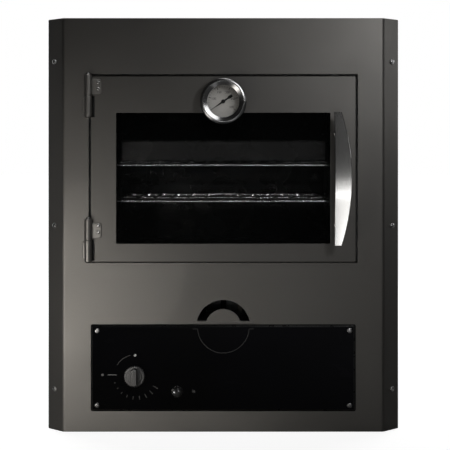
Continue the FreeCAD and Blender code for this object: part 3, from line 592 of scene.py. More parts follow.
shape = bmesh.new()
for top in (front_high - FLANGE_SET, SHEET + FLANGE_SET):
    flange = bmesh.new()
    slab(flange, plan, -top, -top + SHEET, 0.3)
    add(shape, flange, LEVEL)
piece("front_flanges", shape, "front_paint", "oven_body")

# Door: a folded tray with a window, notched beside the fixed halves of the hinges
NOTCH_WIDE = 6.0
NOTCH_DEEP = 12.0
DOOR_DEEP = 22.0
WINDOW_X = (-181, 181)
WINDOW_Z = (318.5, 539.5)
upper_base_z = span("upper_hinge_base")[2]
lower_base_z = span("lower_hinge_base")[2]
upper_notch = (upper_base_z[0] + 2, upper_base_z[1] - 0.2)
lower_notch = (door_z[0] + 3.5, lower_base_z[1] - 0.2)
window = rounded(WINDOW_X, WINDOW_Z, 1.2)
door_outline = rounded(door_x, door_z, 2.2)
inside = grown(door_x, door_z, -SHEET, 1.0)


def notched(inset):
    """The outline of the door's face, cut in at both notches on its left side."""
    points = door_outline(inset)
    half = len(points) // 2
    near = door_x[0] + inset
    far = near + NOTCH_WIDE
    cuts = []
    for low, high in (upper_notch, lower_notch):
        top = high + inset
        foot = low - inset
        cuts += [(near, top), (far, top), (far, foot), (near, foot)]
    return points[:half] + cuts + points[half:]


def channel(inset):
    """The door's folded edge beside the notches: from the lower notch round to the upper one."""
    outer = door_outline(inset)
    inner = inside(-inset)
    half = len(outer) // 2
    near = door_x[0] + inset
    far = door_x[0] + SHEET - inset
    foot = lower_notch[0] - inset
    top = upper_notch[1] + inset
    there = [(near, foot)] + outer[half:] + outer[:half] + [(near, top)]
    back = [(far, foot)] + inner[half:] + inner[:half] + [(far, top)]
    return there + back[::-1]


shape = bmesh.new()
slab(shape, notched, 0, SHEET, 1.2, holes=(window,), hole_edge=0.7)
slab(shape, channel, SHEET, NOTCH_DEEP, 0.05, 1)
slab(shape, rounded((door_x[0], door_x[0] + SHEET), (lower_notch[1], upper_notch[0]), 0.2, 1),
     SHEET, NOTCH_DEEP, 0.05, 1)
slab(shape, door_outline, NOTCH_DEEP, DOOR_DEEP, 0.05, 1, holes=(inside,), hole_edge=0.05)
piece("door_skin", shape, "front_paint", "door", ["door_outer_panel"])

# Rope seal round the inner face of the door
seal_x, seal_u, seal_z = span("door_seal")
SEAL_R = 3.6
seal_line = rounded(seal_x, seal_z, 14)(4.0)
seal_depth = sum(seal_u) / 2
shape = bmesh.new()
wires(shape, SEAL_R, [([(x, seal_depth, z) for x, z in seal_line], True)], 5)
piece("seal_rope", shape, "seal_rope", "door", ["door_seal"], 60)

# Control plate: a gloss face inside a bevelled rim, on a thin black band of painted shadow round its
# edge, below a sill under the arched slot
PLATE_BEVEL = 1.5
PLATE_RIM = 1.9
SHADOW_BAND_SHOWS = 2.0
SILL_X = (-52, 52)
SILL_Z = (181.5, 186.5)
plate_face = grown(plate_x, plate_z, -PLATE_RIM, 0.4, 3)
shape = bmesh.new()
slab(shape, plate_face, plate_front, 0, 0.05, 1)
piece("control_face", shape, "black_plate", "oven_body", ["control_plate"], 30)
shape = bmesh.new()
slab(shape, grown(plate_x, plate_z, 0, 1.8, 3), plate_front, 0, PLATE_BEVEL, 1,
     holes=(plate_face,), hole_edge=0.02)
piece("control_rim", shape, "black_plate", "oven_body", [], 30, PLATE_EDGE)
# A black band a little wider than the plate: painted shadow round the plate's edges
shape = bmesh.new()
slab(shape, grown(plate_x, plate_z, SHADOW_BAND_SHOWS, 3, 3), -0.8, 0, 0.4, 2)
piece("plate_shadow_band", shape, "black_plate", "oven_body", [], 40, PLATE_SHADOW)
shape = bmesh.new()
slab(shape, rounded(SILL_X, SILL_Z, 1.2, 4), -1, 0, 0.8, 3)
piece("slot_sill", shape, "front_paint", "oven_body")


# Screws
def screws(name, seats, radius, tall, body, stands_for=()):
    """A set of pan heads with a cross recess, each seated by a matrix."""
    head = bmesh.new()
    recess = cross(radius * 0.58, radius * 0.13)
    slab(head, disc(0, 0, radius, 32), -tall, 0, tall * 0.75, 4, wells=((recess, tall * 0.55),))
    shape = bmesh.new()
    add(shape, head, *seats)
    piece(name, shape, "fastener_steel", body, stands_for)


def seat(x, u, z, turn, tilt):
    """A seat for a screw: turned about the upright, its recess tilted about its own axis."""
    stand = Matrix.Translation((x, u, z)) @ Matrix.Rotation(math.radians(turn), 4, "Z")
    return stand @ Matrix.Rotation(math.radians(tilt), 4, "Y")


def column(x, u, heights, turn, first):
    """Seats one above another, each with the next tilt."""
    return [seat(x, u, height, turn, TILTS[first + number]) for number, height in enumerate(heights)]


TILTS = (12, 55, 31, 78, 20, 64)
FACET_SCREW_X, FACET_SCREW_U = 287, 16
FACET_SCREW_Z = (69.5, 348.25, 627)
FACET_TURN = math.degrees(FOLD_TURN)
PLATE_SCREW_X = 213
PLATE_SCREW_Z = (45.5, 171.5)
LEAF_SCREW_X, LEAF_SCREW_U = -211, -3
LEAF_SCREW_Z = (591, 580, 349, 338)
facet_seats = column(-FACET_SCREW_X, FACET_SCREW_U, FACET_SCREW_Z, -FACET_TURN, 0)
facet_seats += column(FACET_SCREW_X, FACET_SCREW_U, FACET_SCREW_Z, FACET_TURN, 2)
screws("facet_screw_heads", facet_seats, 4.6, 2.8, "oven_body", ["front_panel_screws"])
plate_seats = column(-PLATE_SCREW_X, plate_front, PLATE_SCREW_Z, 0, 1)
plate_seats += column(PLATE_SCREW_X, plate_front, PLATE_SCREW_Z, 0, 3)
screws("plate_screw_heads", plate_seats, 4.5, 2.8, "oven_body", ["control_plate_screws"])
leaf_seats = column(LEAF_SCREW_X, LEAF_SCREW_U, LEAF_SCREW_Z, 0, 0)
screws("hinge_screw_heads", leaf_seats, 3, 2, "door", ["hinge_screws"])

# Screws along the edges of the casing's back and top
BACK_SCREW_X = (-262, -88, 88, 262)
BACK_SCREW_ENDS = (16, 656)
BACK_SCREW_Z = (176, 336, 496)
TOP_SCREW_X = 264
TOP_SCREW_U = (60, 200, 340, 480)
casing_back = span("casing_back")[1][1]
casing_high = span("casing_top")[2][1]
back_seats = []
for x in BACK_SCREW_X:
    back_seats += column(x, casing_back, BACK_SCREW_ENDS, 180, 0)
for x in (BACK_SCREW_X[0], BACK_SCREW_X[-1]):
    back_seats += column(x, casing_back, BACK_SCREW_Z, 180, 2)
screws("casing_back_screws", back_seats, 4, 2.2, "oven_body")
top_seats = []
for side in (-1, 1):
    for number, depth in enumerate(TOP_SCREW_U):
        lying = Matrix.Translation((TOP_SCREW_X * side, depth, casing_high)) @ LEVEL
        top_seats.append(lying @ Matrix.Rotation(math.radians(TILTS[number]), 4, "Y"))
screws("casing_top_screws", top_seats, 4, 2.2, "oven_body")

# Hinges: a fixed half with a foot, a half on the door with a leaf, and a pin
BARREL_R = 6.4
PIN_R = 3.0
PIN_HEAD_R = 4.2
(foot_left, base_right), (base_front, _), _ = span("upper_hinge_base")
leaf_right = span("upper_hinge_leaf")[0][1]
HINGE_X = base_right - BARREL_R
HINGE_U = base_front + BARREL_R
hinge_axis = Matrix.Translation((HINGE_X, HINGE_U, 0))


def hinge_foot(name, low, high):
    """The fixed half: a closed barrel with a round bottom on a foot."""
    shape = bmesh.new()
    crown = arc(BARREL_R - 4, low + 4, 4, -90, 0)
    neck = arc(BARREL_R - 0.6, high - 0.6, 0.6, 0, 90, 3)
    lathe(shape, [(0, low)] + crown + neck + [(0, high)], hinge_axis, 48)
    slab(shape, rounded((foot_left, HINGE_X - 2), (low + 6, high - 2.7), 2.5), HINGE_U, 0, 1.6, 4)
    piece(f"{name}_hinge_foot", shape, "hinge_steel", "oven_body", [f"{name}_hinge_base"])


def hinge_wing(name, low, high):
    """The half on the door: an open barrel with a leaf."""
    shape = bmesh.new()
    lip = arc(BARREL_R - 0.6, low + 0.6, 0.6, -90, 0, 3)
    crown = arc(BARREL_R - 3, high - 3, 3, 0, 90)
    bore = PIN_R + 0.05
    lathe(shape, [(bore, low)] + lip + crown + [(bore, high)], hinge_axis, 48, True)
    slab(shape, rounded((HINGE_X + 3, leaf_right), (low + 2.7, high - 8), 3.5), -3, 0, 0.9, 3)
    piece(f"{name}_hinge_wing", shape, "hinge_steel", "door", [f"{name}_hinge_leaf"])


pins = bmesh.new()
for name in ("upper", "lower"):
    foot_z = span(f"{name}_hinge_base")[2]
    wing_z = span(f"{name}_hinge_leaf")[2]
    hinge_foot(name, *foot_z)
    hinge_wing(name, *wing_z)
    head = wing_z[1] + 0.3
    pin = [(0, foot_z[1]), (PIN_R, foot_z[1]), (PIN_R, head), (PIN_HEAD_R, head)]
    pin += [*arc(PIN_HEAD_R - 1.2, head + 0.4, 1.2, 0, 90), (0, head + 1.6)]
    lathe(pins, pin, hinge_axis, 40)
piece("hinge_pin_heads", pins, "fastener_steel", "oven_body", ["hinge_pins"])

# Handle: a bowed blade on two posts
HANDLE_LEFT = 184.8
HANDLE_MID = 213.0
HANDLE_END = 197.3
HANDLE_LOW, HANDLE_HIGH = span("door_handle")[2]
HANDLE_FRONT = -50.0
HANDLE_SAG = 15.0
HANDLE_THICK = 3.0
HANDLE_STEPS = 56
LAST_SHARE = 0.995
END_ROUND = 0.6
POST_X = 194.5
POST_Z = (351, 506)
handle_half = (HANDLE_HIGH - HANDLE_LOW) / 2
handle_z = (HANDLE_HIGH + HANDLE_LOW) / 2
bow_r = (handle_half ** 2 + HANDLE_SAG ** 2) / (2 * HANDLE_SAG)
edge_sag = HANDLE_MID - HANDLE_END
edge_r = (handle_half ** 2 + edge_sag ** 2) / (2 * edge_sag)
bow_end = math.asin(handle_half / bow_r)
bow_u = HANDLE_FRONT + bow_r
shape = bmesh.new()
sections = []
stations = [(-1 + 2 * step / HANDLE_STEPS, 0.0) for step in range(HANDLE_STEPS + 1)]
stations[0] = (-LAST_SHARE, 0.0)
stations[-1] = (LAST_SHARE, 0.0)
for share, inset in [(-1.0, END_ROUND)] + stations + [(1.0, END_ROUND)]:
    turn = share * bow_end
    rise = bow_r * math.sin(turn)
    right = HANDLE_MID - edge_r + math.sqrt(edge_r ** 2 - rise ** 2)
    loop = []
    for x, depth in rounded((HANDLE_LEFT, right), (0, HANDLE_THICK), 1.1, 4)(inset):
        reach = bow_r - depth
        spot = (x, bow_u - reach * math.cos(turn), handle_z + reach * math.sin(turn))
        loop.append(shape.verts.new(spot))
    sections.append(loop)
for first, second in zip(sections, sections[1:]):
    bridge(shape, first, second)
fill(shape, [sections[0]])
fill(shape, [sections[-1]])
piece("handle_blade", shape, "handle_steel", "door", ["door_handle"])
shape = bmesh.new()
for height in POST_Z:
    reach = math.sqrt((bow_r - HANDLE_THICK) ** 2 - (height - handle_z) ** 2) - bow_u + 0.4
    profile = [(0, 0), (7.6, 0), *arc(6.8, 1.4, 0.8, 0, 90, 3), (5, 2.6), (5, reach), (0, reach)]
    lathe(shape, profile, facing(POST_X, height), 40)
piece("handle_studs", shape, "handle_steel", "door", ["handle_posts"])

# Thermometer
GAUGE_Z = 558.5
at = facing(0, GAUGE_Z)
shape = bmesh.new()
case = [(4.02, 0), (11, 0), (11, 3), (30, 3), *arc(34, 5, 2, -90, 0), (36, 22), (34, 22), (34, 9)]
lathe(shape, case + [(32, 9), (32, 5), (4.02, 5)], at, 80, True)
piece("gauge_case", shape, "bezel_chrome", "door", ["thermometer_case"])
shape = bmesh.new()
rim = [(36.1, 24.2), (36.1, 13), *arc(38.2, 13.8, 0.8, -90, 0, 3), *arc(34, 22.3, 5, 0, 90, 10)]
slope = [*arc(34, 25.3, 2, 90, 112, 3), (27.4, 24.55), (27.1, 24.4), (27, 24.2)]
lathe(shape, rim + slope, at, 96, True)
piece("gauge_bezel", shape, "bezel_chrome", "door", ["thermometer_bezel"])
shape = bmesh.new()
lathe(shape, [(2, 9), (33.8, 9), (33.8, 9.7), (33.4, 9.8), (2, 9.8)], at, 80, True)
piece("gauge_dial", shape, "dial_face", "door", ["thermometer_dial"])

# Dial marks: a tick for every ten degrees, and plain numbers clear of the resting pointer
DIAL_FACE = -9.8
DIAL_PRINT = 0.12
FIRST_MARK = 214.5
MARK_SWEEP = 250
MARK_STEPS = 25
NUMBER_R = 16.8


def dial_number(number, angle):
    """A number as a thin mesh on the dial, at an angle round it."""
    text = bpy.data.curves.new("number", "FONT")
    text.body = str(number)
    text.size = 5.2
    text.extrude = DIAL_PRINT / 2
    text.align_x = "CENTER"
    text.align_y = "CENTER"
    x = NUMBER_R * math.cos(angle)
    z = GAUGE_Z + NUMBER_R * math.sin(angle)
    baked(marks, bpy.data.objects.new("number", text), facing(x, z, DIAL_FACE - DIAL_PRINT / 2))


marks = bmesh.new()
for step in range(MARK_STEPS + 1):
    main = step % 5 == 0
    inner, half = (21.5, 0.45) if main else (23.5, 0.22)
    tick = bmesh.new()
    slab(tick, rounded((inner, 26), (-half, half), 0.15, 2), DIAL_FACE - DIAL_PRINT, DIAL_FACE, 0.04, 1)
    angle = math.radians(FIRST_MARK - MARK_SWEEP * step / MARK_STEPS)
    add(marks, tick, Matrix.Translation((0, 0, GAUGE_Z)) @ Matrix.Rotation(-angle, 4, "Y"))
    if main and step > 0:
        dial_number(50 + 10 * step, angle)
piece("gauge_marks", marks, "pointer_black", "door", [], 40, BLACK_PRINT)

# Pointer with a counterweight on its tail


def needle_outline(inset):
    """A long tapered needle along +x with a broad tail."""
    flank = [(0, 1.5), (-9, 1.2), (-12, 2.6), (-18 + inset, 2.2)]
    upper = [(24 - 3 * inset, 0.15)] + [(x, half - inset) for x, half in flank]
    return upper + [(x, -z) for x, z in upper[::-1]]


shape = bmesh.new()
slab(shape, needle_outline, -12.2, -11.4, 0.15, 1)
at_rest = Matrix.Rotation(-math.radians(FIRST_MARK), 4, "Y")
shape.transform(Matrix.Translation((0, 0, GAUGE_Z)) @ at_rest)
hub = [(0, 2.6), (1, 2.6), (1, 11.2), (3.4, 11.2), *arc(2.4, 12.4, 1, 0, 90, 4), (0, 13.4)]
lathe(shape, hub, at, 32)
piece("gauge_needle", shape, "pointer_black", "gauge_pointer", ["thermometer_pointer"])

# Tap knob: a fluted skirt and a grip bar
KNOB_X, KNOB_Z = -149.0, 96.0
shape = bmesh.new()
slab(shape, disc(KNOB_X, KNOB_Z, 18, 168, 28, 0.9), -19, -10, 1.8, 5)
boss = [(0, 19), (12.6, 19), *arc(11.6, 19.2, 1.0, 0, 90, 4), (0, 20.2)]
lathe(shape, boss, facing(KNOB_X, KNOB_Z), 64)
slab(shape, rounded((KNOB_X - 5, KNOB_X + 5), (KNOB_Z - 14.6, KNOB_Z + 14.6), 3.5, 6), -32, -19, 1.8, 5,
     wells=((rounded((KNOB_X - 0.6, KNOB_X + 0.6), (KNOB_Z + 4, KNOB_Z + 12.2), 0.5, 3), 0.6),))
piece("tap_knob", shape, "knob_metal", "knob", ["control_knob"])

# Igniter button in its collar
IGNITER_X, IGNITER_Z = -77.5, 68.5
at = facing(IGNITER_X, IGNITER_Z)
shape = bmesh.new()
collar = [(0, -14), (7.8, -14), (7.8, 8), *arc(9.3, 6.8, 1.2, 90, 0), (10.5, 4)]
barrel = [(8.5, 4), (8.5, -2), (9.5, -2), (9.5, -45), (0, -45)]
lathe(shape, collar + barrel, at, 56)
piece("igniter_collar", shape, "igniter_black", "oven_body", ["igniter_body"])
shape = bmesh.new()
CAP_R, CAP_SIDE, CAP_TOP = 8.1, 9.0, 15.9
cap = [(0, -4), (CAP_R, -4)]
for flat, rise in arc(0, 0, 1, 0, 85, 12):
    cap.append((CAP_R * flat, CAP_SIDE + (CAP_TOP - CAP_SIDE) * rise))
lathe(shape, cap + [(0, CAP_TOP)], at, 56)
piece("igniter_cap", shape, "igniter_black", "igniter", ["igniter_button"], 40, CAP_METAL)

# Printed marks on the plate
PRINT_FRONT = plate_front - 0.12


def band(x, z, radius, width, start, end, steps=24):
    """A strip of a ring between two angles in degrees."""
    def outline(inset):
        there = arc(x, z, radius + width / 2 - inset, start, end, steps)
        back = arc(x, z, radius - width / 2 + inset, start, end, steps)
        return there + back[::-1]
    return outline


def printed(name, outlines, material):
    """Marks of one print colour, as one thin layer on the plate."""
    shape = bmesh.new()
    for outline in outlines:
        slab(shape, outline, PRINT_FRONT, plate_front, 0.05, 1)
    piece(name, shape, "black_plate", "oven_body", [], 40, material)


printed("off_dot", [disc(KNOB_X, KNOB_Z + 34, 2.1, 24)], WHITE_PRINT)
printed("low_marks", [
    disc(KNOB_X - 55, KNOB_Z + 1, 2.1, 24),
    rounded((KNOB_X - 46, KNOB_X - 31), (KNOB_Z + 0.3, KNOB_Z + 1.9), 0.5, 3),
], GREY_PRINT)
SCALE_START, SCALE_END, SCALE_BARS = 200, 330, 9
HALF_RING_R, HALF_RING_Z = 43.5, ARCH_Z
SCALE_R = 35
SPARK_R, SPARK_POINTS, SPARK_CUT = 4, 8, 2.4
spark = disc(-50, 69, SPARK_R, 2 * SPARK_POINTS, SPARK_POINTS, SPARK_CUT)
faint = [band(KNOB_X, KNOB_Z, SCALE_R, 0.8, 102, 150), spark]
for bar in range(SCALE_BARS):
    angle = SCALE_START + (SCALE_END - SCALE_START) * bar / (SCALE_BARS - 1)
    long = 2 + 0.9 * bar
    faint.append(band(KNOB_X, KNOB_Z, SCALE_R + long / 2, long, angle - 1, angle + 1, 2))
faint.append(band(0, HALF_RING_Z, HALF_RING_R, 0.8, 184, 356, 72))
for side in (-1, 1):
    ends = sorted((side * HALF_RING_R, side * (HALF_RING_R + 8)))
    faint.append(rounded(ends, (HALF_RING_Z - 3.3, HALF_RING_Z - 2.5), 0.3, 2))
printed("plate_scale_marks", faint, FAINT_PRINT)

# Racks
RACK_X, RACK_U, _ = span("upper_rack")
RAIL_R = 3.0
WIRE_R = 2.0
WIRE_BEND = 2.5
WIRE_SINK = 0.6
WIRE_PITCH = 30
WIRE_STEPS = 6
WELD_R = 2.7
WELD_PROUD = 0.3
RACK_FRONT, RACK_BACK = RACK_U[0] + RAIL_R, RACK_U[1] - RAIL_R


def rack(name, level):
    """A wire rack: a rod frame with round corners, a cross rod and wires turned down inside the frame."""
    shape = bmesh.new()
    frame_line = grown(RACK_X, RACK_U, -RAIL_R, 10, 8)(0)
    middle = (RACK_FRONT + RACK_BACK) / 2
    across = [(RACK_X[0] + RAIL_R, middle, level), (RACK_X[1] - RAIL_R, middle, level)]
    wires(shape, RAIL_R, [([(x, u, level) for x, u in frame_line], True), (across, False)])
    beside = RAIL_R + WIRE_R - WIRE_SINK
    top = level + beside
    near, far = RACK_FRONT + beside, RACK_BACK - beside
    rise = arc(near + WIRE_BEND, top - WIRE_BEND, WIRE_BEND, 180, 90)
    drop = arc(far - WIRE_BEND, top - WIRE_BEND, WIRE_BEND, 90, 0)
    line = [(near, level - RAIL_R), *rise, *drop, (far, level - RAIL_R)]
    runs = []
    for step in range(-WIRE_STEPS, WIRE_STEPS + 1):
        x = WIRE_PITCH * step
        runs.append(([(x, u, z) for u, z in line], False))
        slab(shape, disc(x, level, WELD_R, 20), far - WIRE_R - WELD_PROUD, far, 0.5, 2)
    wires(shape, WIRE_R, runs)
    piece(f"{name}_wires", shape, "rack_wire", name, [name], 50)


rack("upper_rack", 451.0)
rack("lower_rack", 388.5)

# Roasting tray with a rolled rim
tray_x, tray_u, (tray_low, _) = span("roasting_tray")
shape = bmesh.new()
outer_wall = [(9.6, 0), (8.5, 0.3), (7.9, 1.2), (7, 30), (6, 34.5), (4, 35.4)]
rolled_rim = [(1, 35), (0, 35.8), (0.4, 36.7), (1.2, 37), (5, 37), (7.2, 36)]
inner_wall = [(8.3, 33), (9.6, 4), (11, 2.2), (13.4, 1.5)]
profile = [(inset, -tray_low - rise) for inset, rise in outer_wall + rolled_rim + inner_wall]
bottom, floor = stack(shape, rounded(tray_x, tray_u, 10, 8), profile)
fill(shape, [bottom])
fill(shape, [floor])
shape.transform(LEVEL)
piece("tray_pan", shape, "tray_enamel", "tray", ["roasting_tray"], 50)

# Mineral wool blankets round the cavity
WOOL_STEP = 22.0
WOOL_U = (34, 440)
WOOL_Z = (302, 588)
TOP_WOOL_Z = (591.5, 641.5)


def blanket(shape, x, u, z):
    """A soft block whose faces bulge and whose edges are round."""
    size = Vector((x[1] - x[0], u[1] - u[0], z[1] - z[0]))
    middle = Vector((x[0] + x[1], u[0] + u[1], z[0] + z[1])) / 2
    block = bmesh.new()
    bmesh.ops.create_cube(block, size=1)
    cuts = max(2, int(max(size) / WOOL_STEP))
    bmesh.ops.subdivide_edges(block, edges=block.edges, cuts=cuts, use_grid_fill=True)
    for vert in block.verts:
        wave = math.sin(9 * vert.co.x + 4 * vert.co.z) * math.cos(8 * vert.co.y + 5 * vert.co.x)
        crowd = max(abs(part) for part in vert.co.normalized())
        swell = 0.97 - 0.03 * (1 - crowd) + 0.008 * wave
        vert.co = Vector(part * length * swell for part, length in zip(vert.co, size)) + middle
    add(shape, block, Matrix())


shape = bmesh.new()
blanket(shape, (-257, -207), WOOL_U, WOOL_Z)
blanket(shape, (207, 257), WOOL_U, WOOL_Z)
blanket(shape, (-205, -43), WOOL_U, TOP_WOOL_Z)
blanket(shape, (43, 205), WOOL_U, TOP_WOOL_Z)
blanket(shape, (-42, 42), (34, 336), TOP_WOOL_Z)
blanket(shape, (-205, 205), (444, 492), WOOL_Z)
piece("wool_blankets", shape, "mineral_wool", "oven_body", ["insulation_blankets"], 70)

# Thread on the gas inlet
INLET_X, INLET_Z = -149, 60
THREAD_R, THREAD_U = 10.3, (503, 523.6)
RIDGE = ((10.5, 0.4), (10.9, 1.1), (10.9, 1.3), (10.5, 2))
RIDGE_PITCH, RIDGES = 1.8, 11
shape = bmesh.new()
thread = [(THREAD_R, THREAD_U[0])]
for turn in range(RIDGES):
    start = THREAD_U[0] + RIDGE_PITCH * turn
    thread += [(radius, start + along) for radius, along in RIDGE]
thread.append((THREAD_R, THREAD_U[1]))
lathe(shape, thread, Matrix.Translation((INLET_X, 0, INLET_Z)) @ LEVEL, 48, True)
piece("inlet_thread", shape, "pipe_steel", "oven_body")

# Floor, world, lamps and camera
EYE_BACK = 2.15
EYE_HEIGHT = 0.465
PLANE_WIDTH = 0.7612
VIEW_SHIFT = (0.0038, -0.1512)
FLOOR_DROP = 0.0004
ROOM_LEVEL = 0.012
REAR_LEVEL = 0.5
FLOOR_LEVEL, FLOOR_MIRRORED = 0.92, 0.8
CARD_LEVEL, WALL_LEVEL, WALL_FADE = 1.45, 0.18, 0.14
WARM = (1.0, 0.96, 0.9)
WHITE = (1, 1, 1)


def maths(tree, operation, first, second):
    """A sum on two numbers or sockets."""
    node = tree.nodes.new("ShaderNodeMath")
    node.operation = operation
    for socket, source in zip(node.inputs, (first, second)):
        if isinstance(source, float):
            socket.default_value = source
        else:
            tree.links.new(source, socket)
    return node.outputs["Value"]


def smooth(tree, source, low, high):
    """A soft step from 0 to 1 as the source goes from low to high."""
    node = tree.nodes.new("ShaderNodeMapRange")
    node.interpolation_type = "SMOOTHSTEP"
    node.inputs["From Min"].default_value = low
    node.inputs["From Max"].default_value = high
    tree.links.new(source, node.inputs["Value"])
    return node.outputs["Result"]


def part_of(tree, source, axis):
    """One coordinate of a vector socket."""
    node = tree.nodes.new("ShaderNodeSeparateXYZ")
    tree.links.new(source, node.inputs["Vector"])
    return node.outputs[axis]


def stage_floor():
    """A floor, white to the camera and behind the oven and dim in front, that keeps the oven's shadow."""
    made = Finish("floor_white", Roughness=0.8)
    made.colour(made.ramp(made.noise(1.5, 3), 0.3, 0.34))
    made.bump(made.noise(300, 2), 0.02)
    tree = made.material.node_tree
    length = tree.nodes.new("ShaderNodeVectorMath")
    length.operation = "LENGTH"
    tree.links.new(made.place, length.inputs[0])
    rays = tree.nodes.new("ShaderNodeLightPath")
    away = smooth(tree, length.outputs["Value"], 0.5, 1.3)
    lift = maths(tree, "ADD", maths(tree, "MULTIPLY", away, 1 - FLOOR_LEVEL), FLOOR_LEVEL)
    seen = maths(tree, "MULTIPLY", rays.outputs["Is Camera Ray"], lift)
    rear = smooth(tree, part_of(tree, made.place, "Y"), 0.7, 1.4)
    mirrored = maths(tree, "MULTIPLY", rays.outputs["Is Glossy Ray"], rear)
    glow = maths(tree, "ADD", seen, maths(tree, "MULTIPLY", mirrored, FLOOR_MIRRORED))
    tree.links.new(glow, made.shader.inputs["Emission Strength"])
    made.shader.inputs["Emission Color"].default_value = (1, 1, 1, 1)
    shape = bmesh.new()
    bmesh.ops.create_grid(shape, x_segments=8, y_segments=8, size=30)
    floor = placed("studio_floor", shape, made.material)
    floor.location.z = -FLOOR_DROP


def studio_world():
    """A white backdrop behind the oven and a dim room in front of it."""
    world = bpy.data.worlds.new("studio")
    bpy.context.scene.world = world
    world.use_nodes = True
    tree = world.node_tree
    ways = tree.nodes.new("ShaderNodeTexCoord").outputs["Generated"]
    rear = smooth(tree, part_of(tree, ways, "Y"), 0.7, 1.0)
    ambient = tree.nodes["Background"]
    ambient.inputs["Color"].default_value = (1.0, 0.99, 0.97, 1)
    level = maths(tree, "ADD", maths(tree, "MULTIPLY", rear, REAR_LEVEL), ROOM_LEVEL)
    tree.links.new(level, ambient.inputs["Strength"])
    white = tree.nodes.new("ShaderNodeBackground")
    white.inputs["Color"].default_value = (1, 1, 1, 1)
    rays = tree.nodes.new("ShaderNodeLightPath")
    seen = maths(tree, "MAXIMUM", rays.outputs["Is Camera Ray"], rays.outputs["Is Transmission Ray"])
    mirrored = maths(tree, "MULTIPLY", rays.outputs["Is Glossy Ray"], rear)
    both = tree.nodes.new("ShaderNodeMixShader")
    tree.links.new(maths(tree, "MAXIMUM", seen, mirrored), both.inputs["Fac"])
    tree.links.new(ambient.outputs["Background"], both.inputs[1])
    tree.links.new(white.outputs["Background"], both.inputs[2])
    tree.links.new(both.outputs["Shader"], tree.nodes["World Output"].inputs["Surface"])


def link_light(source, names, state):
    """Let a light source reach only the named objects, or all the others."""
    group = bpy.data.collections.new(f"{source.name}_receivers")
    for name in names:
        group.objects.link(bpy.data.objects[name])
    for entry in group.collection_objects:
        entry.light_linking.link_state = state
    source.light_linking.receiver_collection = group


def lamp(name, place, target, size, power, colour=WHITE, spread=180, spares=(), only=()):
    """A soft rectangular lamp that points at a target, both in millimetres as x, u and z."""
    light = bpy.data.lights.new(name, "AREA")
    light.shape = "RECTANGLE"
    light.size, light.size_y = (side * MM for side in size)
    light.energy = power
    light.spread = math.radians(spread)
    light.color = colour
    item = bpy.data.objects.new(name, light)
    item.location = INTO_ROW @ Vector(place)
    item.rotation_euler = (Vector(target) - Vector(place)).to_track_quat("-Z", "Y").to_euler()
    item.visible_camera = False
    link(item)
    if spares:
        link_light(item, spares, "EXCLUDE")
    if only:
        link_light(item, only, "INCLUDE")


def handle_card():
    """A white card on the floor before the handle and a dim wall beyond it, seen only in the handle."""
    made = Finish("card_white", Roughness=0.8)
    made.shader.inputs["Emission Color"].default_value = (1, 0.985, 0.95, 1)
    tree = made.material.node_tree
    height = part_of(tree, made.place, "Z")
    fading = maths(tree, "MULTIPLY", smooth(tree, height, 0.0, 3.0), WALL_FADE)
    wall = maths(tree, "SUBTRACT", WALL_LEVEL, fading)
    floor = maths(tree, "MULTIPLY", maths(tree, "LESS_THAN", height, 0.02), CARD_LEVEL)
    tree.links.new(maths(tree, "ADD", wall, floor), made.shader.inputs["Emission Strength"])
    near, far, tall, wide = 430.0, 12000.0, 9000.0, 130.0
    lift, step_up = 6, 40
    shape = bmesh.new()
    rows = []
    for depth, rise in ((near, lift), (far, lift), (far, step_up), (far, tall)):
        spread = 1 + depth * MM / EYE_BACK
        sides = (HANDLE_LEFT * spread, (HANDLE_LEFT + wide) * spread)
        rows.append([shape.verts.new((side, -depth, rise)) for side in sides])
    for low, high in zip(rows, rows[1:]):
        shape.faces.new((*low, *high[::-1]))
    shape.transform(INTO_ROW)
    card = placed("handle_card", shape, made.material)
    for ray in ("camera", "diffuse", "transmission", "shadow"):
        setattr(card, f"visible_{ray}", False)
    link_light(card, HANDLE, "INCLUDE")


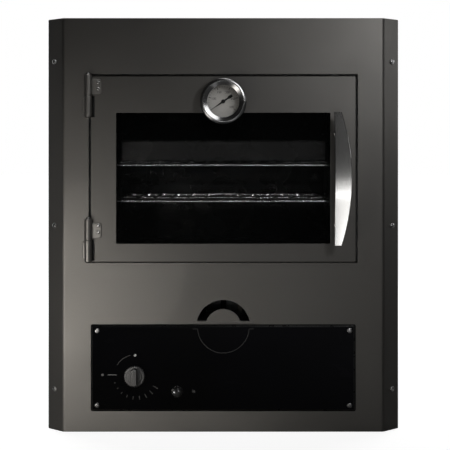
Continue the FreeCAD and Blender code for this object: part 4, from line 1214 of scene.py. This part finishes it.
def studio_camera():
    """The camera at the photograph's height and distance, level with the floor."""
    data = bpy.data.cameras.new("view")
    data.sensor_width = 36
    data.lens = data.sensor_width * EYE_BACK / PLANE_WIDTH
    data.shift_x, data.shift_y = VIEW_SHIFT
    camera = bpy.data.objects.new("view", data)
    camera.location = (0, FRONT_Y - EYE_BACK, EYE_HEIGHT)
    camera.rotation_euler = (math.pi / 2, 0, 0)
    link(camera)
    bpy.context.scene.camera = camera


FLAT_PIECES = ("front_sheet", "front_flanges", "door_skin", "control_face", "control_rim", "studio_floor")
HANDLE = ("handle_blade", "handle_studs")
RACKS = ("upper_rack_wires", "lower_rack_wires")
GAUGE = ("gauge_bezel", "gauge_dial", "gauge_marks", "gauge_needle")
CAP = ("igniter_cap",)
PLATE = ("control_face", "control_rim", "plate_shadow_band") + CAP
TOP = ("casing_top", "casing_top_screws")
STRIP_SPARES = FLAT_PIECES + HANDLE + RACKS + GAUGE + CAP
stage_floor()
studio_world()
handle_card()
lamp("low_left", (-520, -620, 120), (-240, 0, 180), (300, 220), 0.42, WARM, 90, PLATE)
lamp("left_mid", (-360, -950, 330), (-240, 0, 375), (180, 180), 0.038, WARM, 70, PLATE)
lamp("bounce_left", (-150, -280, 14), (-150, 0, 14), (420, 24), 0.065, WARM, only=("front_sheet",))
lamp("high_right", (500, -950, 830), (250, 0, 640), (180, 180), 0.25, WHITE, 70, HANDLE)
lamp("side_right", (1500, 160, 800), (290, 10, 620), (400, 300), 0.05, WHITE, 40)
lamp("front_low", (0, -2000, 110), (0, 0, 400), (900, 60), 0.68, spares=CAP)
lamp("overhead_strip", (0, -900, 2000), (0, 0, 450), (2200, 240), 10, spares=STRIP_SPARES)
lamp("rack_front", (0, -1600, 330), (0, 0, 390), (2400, 80), 13.4, only=RACKS)
lamp("button_key", (-640, -130, 60), (-78, -10, 69), (260, 160), 0.6, only=CAP)
lamp("gauge_key", (835, -920, 1393), (0, 0, 558), (1000, 1000), 9, only=GAUGE)
lamp("above", (200, 500, 2300), (0, 300, 600), (1200, 900), 10, spares=("studio_floor",))
lamp("behind_left", (-1500, 1900, 1000), (0, 340, 350), (1200, 1200), 22, spares=TOP)
lamp("behind_right", (1500, 1900, 1000), (0, 340, 350), (1200, 1200), 19, spares=TOP)
studio_camera()
bpy.context.scene.view_settings.view_transform = "Standard"
